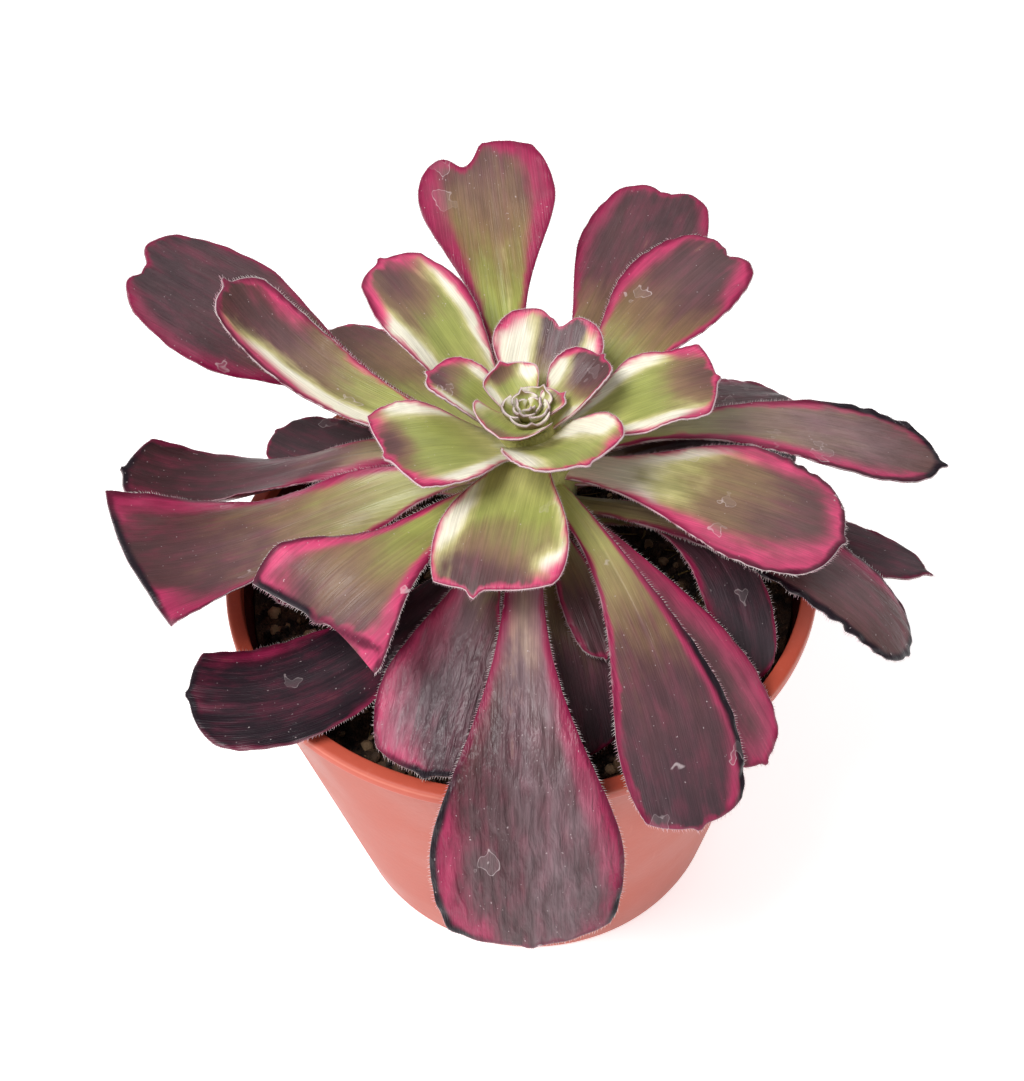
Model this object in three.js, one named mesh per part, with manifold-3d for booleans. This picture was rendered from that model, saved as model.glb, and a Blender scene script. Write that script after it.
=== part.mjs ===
// Potted aeonium: a rosette of spoon-shaped leaves on a short stem, in soil, in a tapered pot.
// Millimetres, +Z up. The origin is the middle of the pot's base.

import * as THREE from 'three';
import { mergeVertices } from 'three/addons/utils/BufferGeometryUtils.js';
import Module from 'manifold-3d';

// ---- Driving dimensions -------------------------------------------------------------------

const GAP = 0.3;                // left between pieces that touch

const POT = {
  height: 93,
  rimRadius: 65,
  bodyTopRadius: 63.6,          // the lip stands out a little from the body below it
  baseRadius: 46.5,
  footRadius: 1.5,
  wall: 2,
  floor: 2.5,
  lipHeight: 3,
  lipWidth: 3.4,
  lipRound: 0.5,
  sides: 48,
};
const DRAIN = { count: 6, radius: 4, circle: 30, sides: 16 };
const SOIL = {
  level: 83.5,
  rings: 7,
  mound: { height: 1.5, spread: 22 }, // round the stem
  // the uneven surface as a sum of waves: [height, turns per mm along x and y in radians, phase]
  waves: [[0.5, 0.31, 0.27, 1.7], [0.4, 0.19, 0.52, 0], [0.3, 0.74, -0.43, 1.6]],
};

const STEM = {
  x: 3,
  y: -1,
  sides: 20,
  rootEnd: 52,
  rootRadius: 5.5,
  rootRound: 4,                 // height of the rounded lower end
  scars: [88, 91, 94, 97, 100], // heights of the ridges left by fallen leaves
  scarHeight: 0.5,
  scarWidth: 1.6,
  // [height, radius]: slim in the soil, thicker where the leaves sit, narrowing to the growing tip
  profile: [[84, 7], [98, 7.5], [106, 9.5], [124, 9.5], [128, 7.5], [132.5, 4.8]],
};
STEM.top = STEM.profile.at(-1)[0];
const HEART_CORE = {
  foot: STEM.top + GAP,
  footRadius: 4.2,
  top: 135.6,
  topRadius: 1.2,
  cap: 0.5,                     // height of its low cone-shaped end
  sides: 12,
};

// Each leaf is one row. base is [azimuth, height] where it leaves the stem, tip is [reach from the
// stem's axis, azimuth, height], pitch is the midrib's slope [at the base, at the tip]. Degrees and
// millimetres. What a row leaves out comes from LEAF_DEFAULTS.
const LEAF_DEFAULTS = {
  neck: 0.3,                    // width at the base, as a share of the full width
  wide: 0.66,                   // where along its length the leaf is widest
  taper: 1,                     // above 1, the lower part stays narrow for longer
  blunt: 0.8,                   // 1 is an elliptic end, 0.3 a nearly square one
  point: 1,                     // length of the small point at the tip
  notch: 0,                     // depth of a notch in the end
  notchAt: 0,                   // where the notch is: -1 at the right edge, 1 at the left edge
  skew: 0,                      // above 0, the end's left corner reaches further than its right one
  cup: [35, 10],                // half-angle of the hollow cross-section at the base and the tip
  roll: [0, 0],                 // turn about the midrib at both ends: above 0 lifts the left edge
  wave: [0, 2, 0],              // waved edges: height, number of waves and phase
  curl: 0,                      // how far the end rolls under
  bend: 0,                      // extra turn to the left at the tip
  handle: 0.38,                 // share of the length over which each end keeps its direction
  thick: 2.6,                   // thickness at the base of the midrib
  edge: 0.9,                    // thickness at the edges
  sink: 1.5,                    // how deep the base starts inside what it grows from
  grid: [10, 6],                // faces along and across
};
const NOTCH_WIDTH = 0.28;       // shares of the half width
const POINT_WIDTH = 0.1;
const CURL_START = 0.72;        // share of the length from which the end rolls under
const THINNING = 0.55;          // how much of the midrib's thickness is lost by the tip
// The wave grows from the midrib to the edge by this power, reaches its full height part of the way
// along the leaf, and runs ahead on the left edge and behind on the right one, in radians.
const WAVE = { edgePower: 2.5, growth: 1.6, lead: 1.3 };

const INNER_LEAVES = [
  { base: [24, 131], tip: [18, 30, 141], pitch: [35, 20], width: 15,
    neck: 0.45, wide: 0.6, cup: [55, 50], thick: 1.8, grid: [8, 6] },
  { base: [160, 130.5], tip: [20.5, 160, 141], pitch: [35, 15], width: 15,
    neck: 0.45, wide: 0.55, cup: [50, 40], thick: 1.8, skew: 0.05, grid: [8, 6] },
  { base: [72, 128.5], tip: [23, 71, 143.5], pitch: [48, 45], width: 24,
    neck: 0.35, cup: [45, 20], notch: 3.5, notchAt: -0.1, thick: 2 },
  { base: [296, 130.1], tip: [23.5, 295.5, 141], pitch: [30, 10], width: 24.5,
    neck: 0.72, wide: 0.55, blunt: 0.7, cup: [52, 20], thick: 1.7 },
  { base: [130, 126], tip: [43, 131, 150.3], pitch: [35, 20], width: 21,
    neck: 0.35, wide: 0.62, taper: 1.2, blunt: 0.6, cup: [40, 10], wave: [0.8, 2, 0], thick: 2.2 },
  { base: [8, 126.5], tip: [38, 4, 139], pitch: [25, 15], width: 23,
    neck: 0.35, blunt: 0.6, cup: [45, 15], wave: [0.8, 2, 0], thick: 2.2 },
  { base: [208, 128.8], tip: [31, 208, 139.5], pitch: [25, 5], width: 27,
    blunt: 0.45, cup: [40, 10], thick: 2.2, neck: 0.38 },
  { base: [258, 126.5], tip: [40, 257, 127], pitch: [20, -20], width: 26,
    neck: 0.45, wide: 0.74, blunt: 0.45, cup: [40, 5], thick: 2.2, skew: -0.14 },
];

const MIDDLE_LEAVES = [
  { base: [97, 122.5], tip: [67, 95.5, 155], pitch: [25, 25], width: 30,
    neck: 0.22, wide: 0.8, taper: 2.1, notch: 5, notchAt: 0.35, skew: -0.1, cup: [40, 10] },
  { base: [42, 123], tip: [61, 41, 143], pitch: [25, 5], width: 26,
    neck: 0.26, wide: 0.7, taper: 1.4, notch: 3, notchAt: -0.1, cup: [40, 10] },
  { base: [158, 124.8], tip: [71, 150, 144.5], pitch: [-4, 50], width: 18,
    neck: 0.33, wide: 0.72, blunt: 0.6, cup: [45, 40], roll: [0, -5], grid: [10, 4], point: 2 },
  { base: [338, 122.5], tip: [65, 337, 120], pitch: [6, -13], width: 31,
    neck: 0.24, wide: 0.68, taper: 1.2, cup: [40, 0] },
  { base: [228, 121.5], tip: [57, 220.5, 120.5], pitch: [14, -25], width: 36,
    neck: 0.19, wide: 0.95, taper: 2.2, blunt: 0.3, skew: -2.4, cup: [40, 0], curl: 2,
    roll: [0, -10], wave: [2.5, 1, 85] },
  { base: [183, 120.5], tip: [84, 189, 111.5], pitch: [-2, 18], width: 37,
    neck: 0.17, wide: 0.84, taper: 1.3, blunt: 0.25, skew: -0.35, cup: [40, 10], roll: [0, -3],
    wave: [6, 1.1, 80], grid: [12, 8], point: 0 },
  { base: [298, 121], tip: [75, 291.5, 91], pitch: [8, -50], width: 24,
    neck: 0.22, wide: 0.8, taper: 1.5, blunt: 0.6, cup: [40, -10] },
  { base: [15, 121], tip: [88, 3, 109], pitch: [10, -12], width: 19.5,
    neck: 0.28, wide: 0.76, taper: 1.5, blunt: 0.95, point: 2, cup: [40, 20], roll: [0, 8],
    grid: [10, 4] },
];

const OUTER_LEAVES = [
  { base: [138, 120], tip: [93.5, 152, 146], pitch: [-8, 36], width: 33,
    neck: 0.18, wide: 0.75, taper: 2.2, notch: 4, cup: [35, 10], roll: [0, -6] },
  { base: [61, 118.5], tip: [77, 62, 140], pitch: [22, 15], width: 28,
    neck: 0.23, wide: 0.74, taper: 1.6, notch: 3 },
  { base: [264, 118.5], tip: [84, 266, 75], pitch: [-2, -70], width: 37.5,
    neck: 0.18, wide: 0.82, taper: 1.9, blunt: 0.5, cup: [40, -20], grid: [12, 6] },
  { base: [244, 114], tip: [62, 247, 95], pitch: [0, -35], width: 28,
    neck: 0.2, wide: 0.78, taper: 1.6, blunt: 0.7, cup: [35, -20] },
  { base: [151, 115.5], tip: [93, 166.5, 105.5], pitch: [14, 34], width: 22,
    neck: 0.22, wide: 0.78, taper: 1.8, blunt: 0.6, cup: [35, 20], bend: -10, wave: [3.5, 1.1, 85] },
  { base: [150, 108], tip: [70, 146, 98.5], pitch: [-5, 0], width: 21,
    neck: 0.22, wide: 0.75, cup: [30, 10] },
  { base: [219, 105.5], tip: [80, 206, 95.8], pitch: [-18, 5], width: 26,
    neck: 0.2, wide: 0.74, blunt: 0.5, skew: -0.2, cup: [30, 0], bend: -25 },
  { base: [308, 116], tip: [69, 308, 88.5], pitch: [8, -45], width: 18,
    neck: 0.22, wide: 0.78, cup: [30, -10], taper: 1.5 },
  { base: [340, 112], tip: [82, 335, 95], pitch: [4, -58], width: 18,
    neck: 0.22, wide: 0.72, cup: [30, -10] },
  { base: [8, 103], tip: [84, 351, 94.5], pitch: [-8, -5], width: 15,
    wide: 0.65, blunt: 0.95, point: 2, cup: [30, 0], grid: [9, 4] },
  { base: [354, 107], tip: [55.5, 319.5, 90], pitch: [12, -60], width: 14,
    wide: 0.7, cup: [30, 0], bend: -5, handle: 0.5, grid: [9, 4], neck: 0.3, taper: 1.2 },
  { base: [302, 108], tip: [46, 312, 88], pitch: [0, -50], width: 14,
    wide: 0.65, cup: [30, 0], grid: [8, 4] },
  { base: [275, 111], tip: [51, 278, 88], pitch: [0, -50], width: 22,
    neck: 0.25, wide: 0.7, cup: [30, 0] },
  { base: [287, 114], tip: [40, 288, 104], pitch: [0, -35], width: 10,
    neck: 0.33, wide: 0.7, cup: [30, 0], grid: [8, 4] },
  { base: [206, 115], tip: [56, 188, 100], pitch: [-3, -25], width: 22,
    neck: 0.22, wide: 0.7, cup: [30, 0] },
  { base: [246, 98], tip: [44, 236, 88.5], pitch: [0, -50], width: 15,
    wide: 0.7, cup: [30, 0], grid: [8, 4] },
  { base: [354, 117], tip: [57, 356, 113.5], pitch: [5, -10], width: 17,
    neck: 0.25, cup: [35, 0], grid: [9, 4] },
  { base: [24, 111], tip: [63, 19, 101], pitch: [8, -30], width: 22,
    neck: 0.23, cup: [35, 0], grid: [9, 4] },
  { base: [30, 116.5], tip: [70, 29, 103], pitch: [8, -25], width: 20,
    neck: 0.27, cup: [35, 0], grid: [9, 4] },
  { base: [124, 111.5], tip: [78, 126, 108], pitch: [5, -5], width: 22,
    neck: 0.25, cup: [35, 0], grid: [9, 4] },
  { base: [82, 114], tip: [66, 78, 96], pitch: [5, -35], width: 24,
    neck: 0.23, wide: 0.68, cup: [35, 0], grid: [9, 4] },
  { base: [106, 108.5], tip: [64, 104, 95], pitch: [0, -35], width: 22,
    neck: 0.25, wide: 0.68, cup: [35, 0], grid: [9, 4] },
  { base: [50, 109], tip: [60, 50, 95], pitch: [0, -35], width: 24,
    neck: 0.23, wide: 0.68, cup: [35, 0], grid: [9, 4] },
];

// The heart's three larger leaves, which cup the bud.
const HEART_LEAVES = [
  { base: [120, 134], tip: [10, 119, 140.8], pitch: [55, 75], width: 14.5 },
  { base: [238, 134], tip: [11, 240, 138], pitch: [20, 25], width: 19.5, skew: 0.15 },
  { base: [12, 134], tip: [7.6, 18, 137.4], pitch: [35, 40], width: 8 },
];
const HEART_LEAF_SHAPE = { neck: 0.5, wide: 0.6, cup: [60, 55], thick: 1.4, sink: 0.6, grid: [5, 4] };
// The bud's smallest leaves, each a step further round, closer to the middle and narrower than the last.
const BUD = {
  leaves: 9,
  firstAzimuth: 275,
  goldenAngle: 137.5,
  foot: HEART_CORE.foot + 1,
  footStep: 0.2,
  reach: 6.3,
  reachStep: 0.6,
  top: 137.6,
  width: 10.4,
  widthStep: 0.85,
  pitch: [50, 80],
  cup: [75, 70],
};

// ---- Materials ----------------------------------------------------------------------------

const plastic = new THREE.MeshStandardMaterial({ color: 0xd98a73, roughness: 0.45, metalness: 0 });
const earth = new THREE.MeshStandardMaterial({ color: 0x2f241c, roughness: 0.95, metalness: 0 });
const bark = new THREE.MeshStandardMaterial({ color: 0x7a6a4c, roughness: 0.85, metalness: 0 });
const heartGreen = new THREE.MeshStandardMaterial({ color: 0x9db060, roughness: 0.4, metalness: 0 });
const innerGreen = new THREE.MeshStandardMaterial({ color: 0x96935a, roughness: 0.4, metalness: 0 });
const middlePurple = new THREE.MeshStandardMaterial({ color: 0x7d6152, roughness: 0.4, metalness: 0 });
const outerPurple = new THREE.MeshStandardMaterial({ color: 0x5a3946, roughness: 0.4, metalness: 0 });

// ---- Solids -------------------------------------------------------------------------------

const wasm = await Module();
wasm.setup();

function toSolid(geometry) {
  const bare = geometry.clone();
  bare.deleteAttribute('normal');
  bare.deleteAttribute('uv');
  const merged = mergeVertices(bare, 1e-4);
  return new wasm.Manifold(new wasm.Mesh({
    numProp: 3,
    vertProperties: new Float32Array(merged.attributes.position.array),
    triVerts: new Uint32Array(merged.index.array),
  }));
}

function toGeometry(solid) {
  const { vertProperties, triVerts } = solid.getMesh();
  const geometry = new THREE.BufferGeometry();
  geometry.setAttribute('position', new THREE.BufferAttribute(vertProperties, 3));
  geometry.setIndex(new THREE.BufferAttribute(triVerts, 1));
  geometry.computeVertexNormals();
  return geometry;
}

// A lathe around +Z from [radius, height] points that start and end on the axis.
function lathe(points, sides) {
  const profile = points.map(([radius, height]) => new THREE.Vector2(radius, height));
  return new THREE.LatheGeometry(profile, sides).rotateX(Math.PI / 2);
}

function interpolate(pairs, x) {
  const after = pairs.findIndex(([at]) => at >= x);
  if (after === 0) return pairs[0][1];
  if (after < 0) return pairs.at(-1)[1];
  const [x0, y0] = pairs[after - 1];
  const [x1, y1] = pairs[after];
  return y0 + (y1 - y0) * (x - x0) / (x1 - x0);
}

// ---- Pot ----------------------------------------------------------------------------------

const LIP_FOOT = POT.height - POT.lipHeight;
const outerRadius = (z) => POT.baseRadius + (POT.bodyTopRadius - POT.baseRadius) * z / LIP_FOOT;
const innerRadius = (z) => outerRadius(z) - POT.wall;

function makePot() {
  const { rimRadius, height, lipRound, lipWidth } = POT;
  const body = toSolid(lathe([
    [0, 0],
    [POT.baseRadius - POT.footRadius, 0],
    [outerRadius(POT.footRadius), POT.footRadius],
    [outerRadius(LIP_FOOT), LIP_FOOT],
    [rimRadius, LIP_FOOT + lipRound],
    [rimRadius, height - 2 * lipRound],
    [rimRadius - lipRound, height - 0.5 * lipRound],
    [rimRadius - 2 * lipRound, height],
    [rimRadius - lipWidth + lipRound, height],
    [rimRadius - lipWidth, height - lipRound],
    [innerRadius(LIP_FOOT - 1), LIP_FOOT - 1],
    [innerRadius(POT.floor), POT.floor],
    [0, POT.floor],
  ], POT.sides));
  const holes = Array.from({ length: DRAIN.count }, (_, i) => {
    const angle = 2 * Math.PI * i / DRAIN.count;
    const drill = new THREE.CylinderGeometry(DRAIN.radius, DRAIN.radius, 4 * POT.floor, DRAIN.sides);
    drill.rotateX(Math.PI / 2);
    return toSolid(drill.translate(DRAIN.circle * Math.cos(angle), DRAIN.circle * Math.sin(angle), 0));
  });
  return toGeometry(holes.reduce((pot, hole) => pot.subtract(hole), body));
}

// ---- Stem ---------------------------------------------------------------------------------

const stemRadius = (z) => interpolate([...STEM.profile, [HEART_CORE.foot, HEART_CORE.footRadius],
  [HEART_CORE.top, HEART_CORE.topRadius]], z);

// The stem's shape, grown outwards by a margin. Its lower end is rounded.
function stemShape(margin) {
  const lower = [
    [0, STEM.rootEnd - margin],
    [STEM.rootRadius * 0.7 + margin, STEM.rootEnd + STEM.rootRound / 4 - margin],
    [STEM.rootRadius + margin, STEM.rootEnd + STEM.rootRound],
  ];
  const ridges = STEM.scars.flatMap((z) => [
    [stemRadius(z) + margin, z - STEM.scarWidth / 2],
    [stemRadius(z) + margin + STEM.scarHeight, z],
  ]);
  const upper = STEM.profile.slice(2).map(([z, radius]) => [radius + margin, z]);
  const top = STEM.top + margin;
  const profile = [...lower, [STEM.profile[0][1] + margin, STEM.profile[0][0]], ...ridges, ...upper];
  profile.push([STEM.profile.at(-1)[1] + margin, top], [0, top]);
  return lathe(profile, STEM.sides).translate(STEM.x, STEM.y, 0);
}

// ---- Soil ---------------------------------------------------------------------------------

// Height of the soil's surface above its mean level: a low mound round the stem, and waves.
function soilRelief(x, y) {
  const { height, spread } = SOIL.mound;
  const mound = height * Math.exp(-((Math.hypot(x - STEM.x, y - STEM.y) / spread) ** 2));
  return SOIL.waves.reduce((sum, [a, kx, ky, phase]) => sum + a * Math.sin(kx * x + ky * y + phase), mound);
}

function makeSoil() {
  const foot = POT.floor + GAP;
  const radius = (z) => innerRadius(z) - GAP;
  const side = [[0, foot], [radius(foot), foot], [radius(SOIL.level), SOIL.level]];
  const top = Array.from({ length: SOIL.rings }, (_, i) => {
    const share = 1 - (i + 1) / SOIL.rings;
    return [radius(SOIL.level) * share, SOIL.level];
  });
  const geometry = lathe([...side, ...top], POT.sides);
  const position = geometry.attributes.position;
  for (let i = 0; i < position.count; i += 1) {
    const [x, y] = [position.getX(i), position.getY(i)];
    const rim = Math.hypot(x, y) / radius(SOIL.level);
    if (position.getZ(i) > SOIL.level - 0.1 && rim < 0.99) position.setZ(i, SOIL.level + soilRelief(x, y));
  }
  return toGeometry(toSolid(geometry).subtract(toSolid(stemShape(GAP))));
}

// ---- Leaves -------------------------------------------------------------------------------

const radians = THREE.MathUtils.degToRad;
const smooth = (t) => THREE.MathUtils.smoothstep(t, 0, 1);
const lerp = THREE.MathUtils.lerp;
const UP = new THREE.Vector3(0, 0, 1);

function heading(pitch, azimuth) {
  const [p, a] = [radians(pitch), radians(azimuth)];
  return new THREE.Vector3(Math.cos(p) * Math.cos(a), Math.cos(p) * Math.sin(a), Math.sin(p));
}

function fromStem(reach, azimuth, height) {
  return heading(0, azimuth).multiplyScalar(reach).add(new THREE.Vector3(STEM.x, STEM.y, height));
}

const wrap = (angle) => THREE.MathUtils.euclideanModulo(angle + 180, 360) - 180;

// The midrib leaves the stem straight outwards and turns towards its tip.
function midrib(leaf) {
  const [baseAzimuth, baseHeight] = leaf.base;
  const [reach, tipAzimuth, tipHeight] = leaf.tip;
  const start = fromStem(Math.max(stemRadius(baseHeight) - leaf.sink, GAP), baseAzimuth, baseHeight);
  const end = fromStem(reach, tipAzimuth, tipHeight);
  const chord = end.clone().sub(start);
  const chordAzimuth = THREE.MathUtils.radToDeg(Math.atan2(chord.y, chord.x));
  const endAzimuth = chordAzimuth - wrap(baseAzimuth - chordAzimuth) + leaf.bend;
  const handle = leaf.handle * chord.length();
  const curve = new THREE.CubicBezierCurve3(
    start,
    start.clone().addScaledVector(heading(leaf.pitch[0], baseAzimuth), handle),
    end.clone().addScaledVector(heading(leaf.pitch[1], endAzimuth), -handle),
    end,
  );
  return { curve, length: curve.getLength(), endAzimuth };
}

// Where a grid point lies in the leaf's flat outline: its share of the length, and its offset from
// the midrib as a share of the half width. u runs from base to tip, v from -1 (right) to 1 (left).
function outline(leaf, length, u, v) {
  const low = leaf.neck + (1 - leaf.neck) * smooth((u / leaf.wide) ** leaf.taper);
  if (u <= leaf.wide) return [u, v * low];
  const end = (u - leaf.wide) / (1 - leaf.wide);
  const power = leaf.blunt / 2;
  const notch = leaf.notch * Math.exp(-(((v - leaf.notchAt) / NOTCH_WIDTH) ** 2)) * end ** 3;
  const point = leaf.point * Math.exp(-((v / POINT_WIDTH) ** 2)) * end ** 8;
  const along = leaf.wide + (1 - leaf.wide) * (end * (1 - v * v / 2) ** power + leaf.skew * v * end * end);
  return [along + (point - notch) / length, v * (1 - end * end / 2) ** power];
}

// The middle surface's point and normal, and the thickness there.
function bladeAt(leaf, rib, u, v) {
  const [along, across] = outline(leaf, rib.length, u, v);
  const at = THREE.MathUtils.clamp(along, 0, 1);
  const tangent = rib.curve.getTangentAt(at);
  const point = rib.curve.getPointAt(at).addScaledVector(tangent, Math.max(along - 1, 0) * rib.length);
  const azimuth = radians(leaf.base[0] + wrap(rib.endAzimuth - leaf.base[0]) * u);
  const side = new THREE.Vector3(-Math.sin(azimuth), Math.cos(azimuth), 0);
  side.addScaledVector(tangent, -side.dot(tangent)).normalize();
  side.applyAxisAngle(tangent, radians(lerp(...leaf.roll, smooth(u))));
  const up = tangent.clone().cross(side);
  const half = leaf.width / 2;
  const cup = radians(lerp(...leaf.cup, smooth(1.1 * u))) || 1e-3;
  const turn = cup * across;
  const [height, waves, phase] = leaf.wave;
  const ripple = Math.sin(2 * Math.PI * waves * u + radians(phase) + WAVE.lead * Math.sign(v));
  const lift = half * (1 - Math.cos(turn)) / cup
    + height * ripple * Math.abs(v) ** WAVE.edgePower * smooth(WAVE.growth * u)
    - leaf.curl * Math.max((along - CURL_START) / (1 - CURL_START), 0) ** 2;
  point.addScaledVector(side, half * Math.sin(turn) / cup).addScaledVector(up, lift);
  const normal = up.clone().multiplyScalar(Math.cos(turn)).addScaledVector(side, -Math.sin(turn));
  const thickness = lerp(leaf.thick * (1 - THINNING * u), leaf.edge, v * v);
  return { point, normal, thickness };
}

// A closed blade: a grid of quads on each face, split the same way on both, and a strip round the edge.
function bladeGeometry(row) {
  const leaf = { ...LEAF_DEFAULTS, ...row };
  const rib = midrib(leaf);
  const [long, wide] = leaf.grid;
  const across = wide + 1;
  const layer = (long + 1) * across;
  const points = [];
  for (const half of [0.5, -0.5]) {
    for (let i = 0; i <= long; i += 1) {
      for (let j = 0; j <= wide; j += 1) {
        const { point, normal, thickness } = bladeAt(leaf, rib, i / long, 2 * j / wide - 1);
        points.push(point.addScaledVector(normal, half * thickness));
      }
    }
  }
  const triangles = [];
  const quad = (a, b, c, d) => triangles.push(a, b, c, a, c, d);
  for (let i = 0; i < long; i += 1) {
    for (let j = 0; j < wide; j += 1) {
      const [a, d] = [i * across + j, i * across + j + 1];
      const [b, c] = [a + across, d + across];
      quad(a, b, c, d);
      triangles.push(layer + a, layer + c, layer + b, layer + a, layer + d, layer + c);
    }
  }
  const rim = [];
  for (let i = 0; i < long; i += 1) rim.push(i * across);
  for (let j = 0; j < wide; j += 1) rim.push(long * across + j);
  for (let i = long; i > 0; i -= 1) rim.push(i * across + wide);
  for (let j = wide; j > 0; j -= 1) rim.push(j);
  rim.forEach((a, k) => {
    const b = rim[(k + 1) % rim.length];
    quad(a, a + layer, b + layer, b);
  });
  const geometry = new THREE.BufferGeometry().setFromPoints(points);
  geometry.setIndex(triangles);
  return geometry;
}

function makeLeaf(row, stemCut) {
  return toGeometry(toSolid(bladeGeometry(row)).subtract(stemCut));
}

// The heart: a core at the growing tip with its small leaves sunk in it, as one body.
function makeHeart() {
  const core = toSolid(lathe([
    [0, HEART_CORE.foot],
    [HEART_CORE.footRadius, HEART_CORE.foot],
    [HEART_CORE.topRadius, HEART_CORE.top],
    [0, HEART_CORE.top + HEART_CORE.cap],
  ], HEART_CORE.sides).translate(STEM.x, STEM.y, 0));
  const bud = Array.from({ length: BUD.leaves }, (_, i) => {
    const azimuth = BUD.firstAzimuth + BUD.goldenAngle * i;
    return {
      base: [azimuth, BUD.foot + BUD.footStep * i],
      tip: [BUD.reach - BUD.reachStep * i, azimuth, BUD.top],
      pitch: BUD.pitch,
      width: BUD.width - BUD.widthStep * i,
      cup: BUD.cup,
    };
  });
  const blades = [...HEART_LEAVES, ...bud]
    .map((row) => toSolid(bladeGeometry({ ...HEART_LEAF_SHAPE, ...row })));
  return toGeometry(blades.reduce((heart, blade) => heart.add(blade), core));
}

// ---- Assembly -----------------------------------------------------------------------------

const group = new THREE.Group();

function place(name, geometry, material) {
  const mesh = new THREE.Mesh(geometry, material);
  mesh.name = name;
  group.add(mesh);
}

place('pot', makePot(), plastic);
place('soil', makeSoil(), earth);
place('stem', toGeometry(toSolid(stemShape(0))), bark);
place('rosette_heart', makeHeart(), heartGreen);

const stemCut = toSolid(stemShape(GAP));
const tiers = [
  ['inner_leaf', INNER_LEAVES, innerGreen],
  ['middle_leaf', MIDDLE_LEAVES, middlePurple],
  ['outer_leaf', OUTER_LEAVES, outerPurple],
];
for (const [name, rows, material] of tiers) {
  rows.forEach((row, i) => {
    place(`${name}_${String(i + 1).padStart(2, '0')}`, makeLeaf(row, stemCut), material);
  });
}

export default group;
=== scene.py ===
"""Looks of a potted aeonium: a rosette of spoon-shaped leaves on a short stem, in soil, in a pot.

The frame is in metres, +Z up, with its origin in the middle of the pot's base. Shapes are worked
out in millimetres and degrees and are scaled to metres when their meshes are made. A part is its
points in millimetres, its faces and, for some, named attributes of its points and the number of
each face's material. Faces are rows of four corners, the last of which is -1 in a triangle.
"""

import math

import bpy
import numpy as np
from bpy.props import FloatProperty, FloatVectorProperty, IntProperty, PointerProperty
from mathutils import Matrix, Vector


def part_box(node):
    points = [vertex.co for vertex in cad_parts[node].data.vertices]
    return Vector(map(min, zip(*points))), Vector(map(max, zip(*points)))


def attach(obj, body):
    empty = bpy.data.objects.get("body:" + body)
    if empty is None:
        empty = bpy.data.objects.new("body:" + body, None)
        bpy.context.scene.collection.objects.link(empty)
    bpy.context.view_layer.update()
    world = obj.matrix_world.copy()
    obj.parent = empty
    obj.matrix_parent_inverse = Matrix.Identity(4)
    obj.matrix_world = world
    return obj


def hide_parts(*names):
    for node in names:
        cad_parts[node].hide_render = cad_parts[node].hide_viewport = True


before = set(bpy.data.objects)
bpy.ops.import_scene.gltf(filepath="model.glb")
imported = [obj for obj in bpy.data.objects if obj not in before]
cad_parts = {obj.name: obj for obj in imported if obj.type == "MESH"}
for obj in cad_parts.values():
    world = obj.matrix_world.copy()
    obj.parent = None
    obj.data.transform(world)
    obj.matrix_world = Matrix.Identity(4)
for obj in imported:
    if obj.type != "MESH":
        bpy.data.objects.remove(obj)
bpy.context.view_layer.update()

bl_info = {
    "name": "Potted Aeonium",
    "version": (1, 0, 0),
    "blender": (4, 5, 0),
    "location": "View3D > Sidebar > Aeonium",
    "description": "Builds a potted aeonium round its solid model: pot, soil, stem, leaves and stage",
    "category": "Add Mesh",
}

MM = 0.001


def corners(node):
    """Lowest and highest corner of a solid, in millimetres."""
    return [np.array(corner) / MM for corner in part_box(node)]


# ---- Sizes, in millimetres and degrees ------------------------------------------------------

SHAPE_TOLERANCE = 2.5  # how far a piece's box may be from its solid's box
POT_HIGH = corners("pot")[1]
POT = {
    "height": POT_HIGH[2],
    "rim_radius": POT_HIGH[0],
    "body_top_radius": POT_HIGH[0] - 1.4,
    "base_radius": 46.5,
    "foot_radius": 1.5,
    "wall": 2.0,
    "floor": 2.5,
    "lip_height": 3.0,
    "lip_width": 3.4,
    "lip_round": 0.5,
    "lip_step": 0.3,  # the lip's outer edge starts this far above the wall's top
    "mesh_step": 2.0,
    "columns": 180,
}
UNDER_LIP = POT["height"] - POT["lip_height"]
WALL_SLOPE = (POT["body_top_radius"] - POT["base_radius"]) / UNDER_LIP
# A drain hole is drilled from below the floor to above it, past it by the same length.
DRAIN = {"count": 6, "radius": 4.0, "circle": 30.0, "past": 2.0, "columns": 32}
SOIL = {
    "level": 83.5,
    "clearance": 0.3,
    "mound_height": 1.5,
    "mound_spread": 22.0,
    # the uneven surface as a sum of waves: height, radians per mm along x and y, phase
    "waves": ((0.5, 0.31, 0.27, 1.7), (0.4, 0.19, 0.52, 0.0), (0.3, 0.74, -0.43, 1.6)),
    "clods": (0.45, 5, 3, 3),  # rough noise: height, size, seed and number of layers
    "crumble": (0.28, 1.3, 9, 2),  # the same, folded up into small ridges
    "rings": 170,
    "columns": 300,
    "seed": 7,
}
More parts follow.
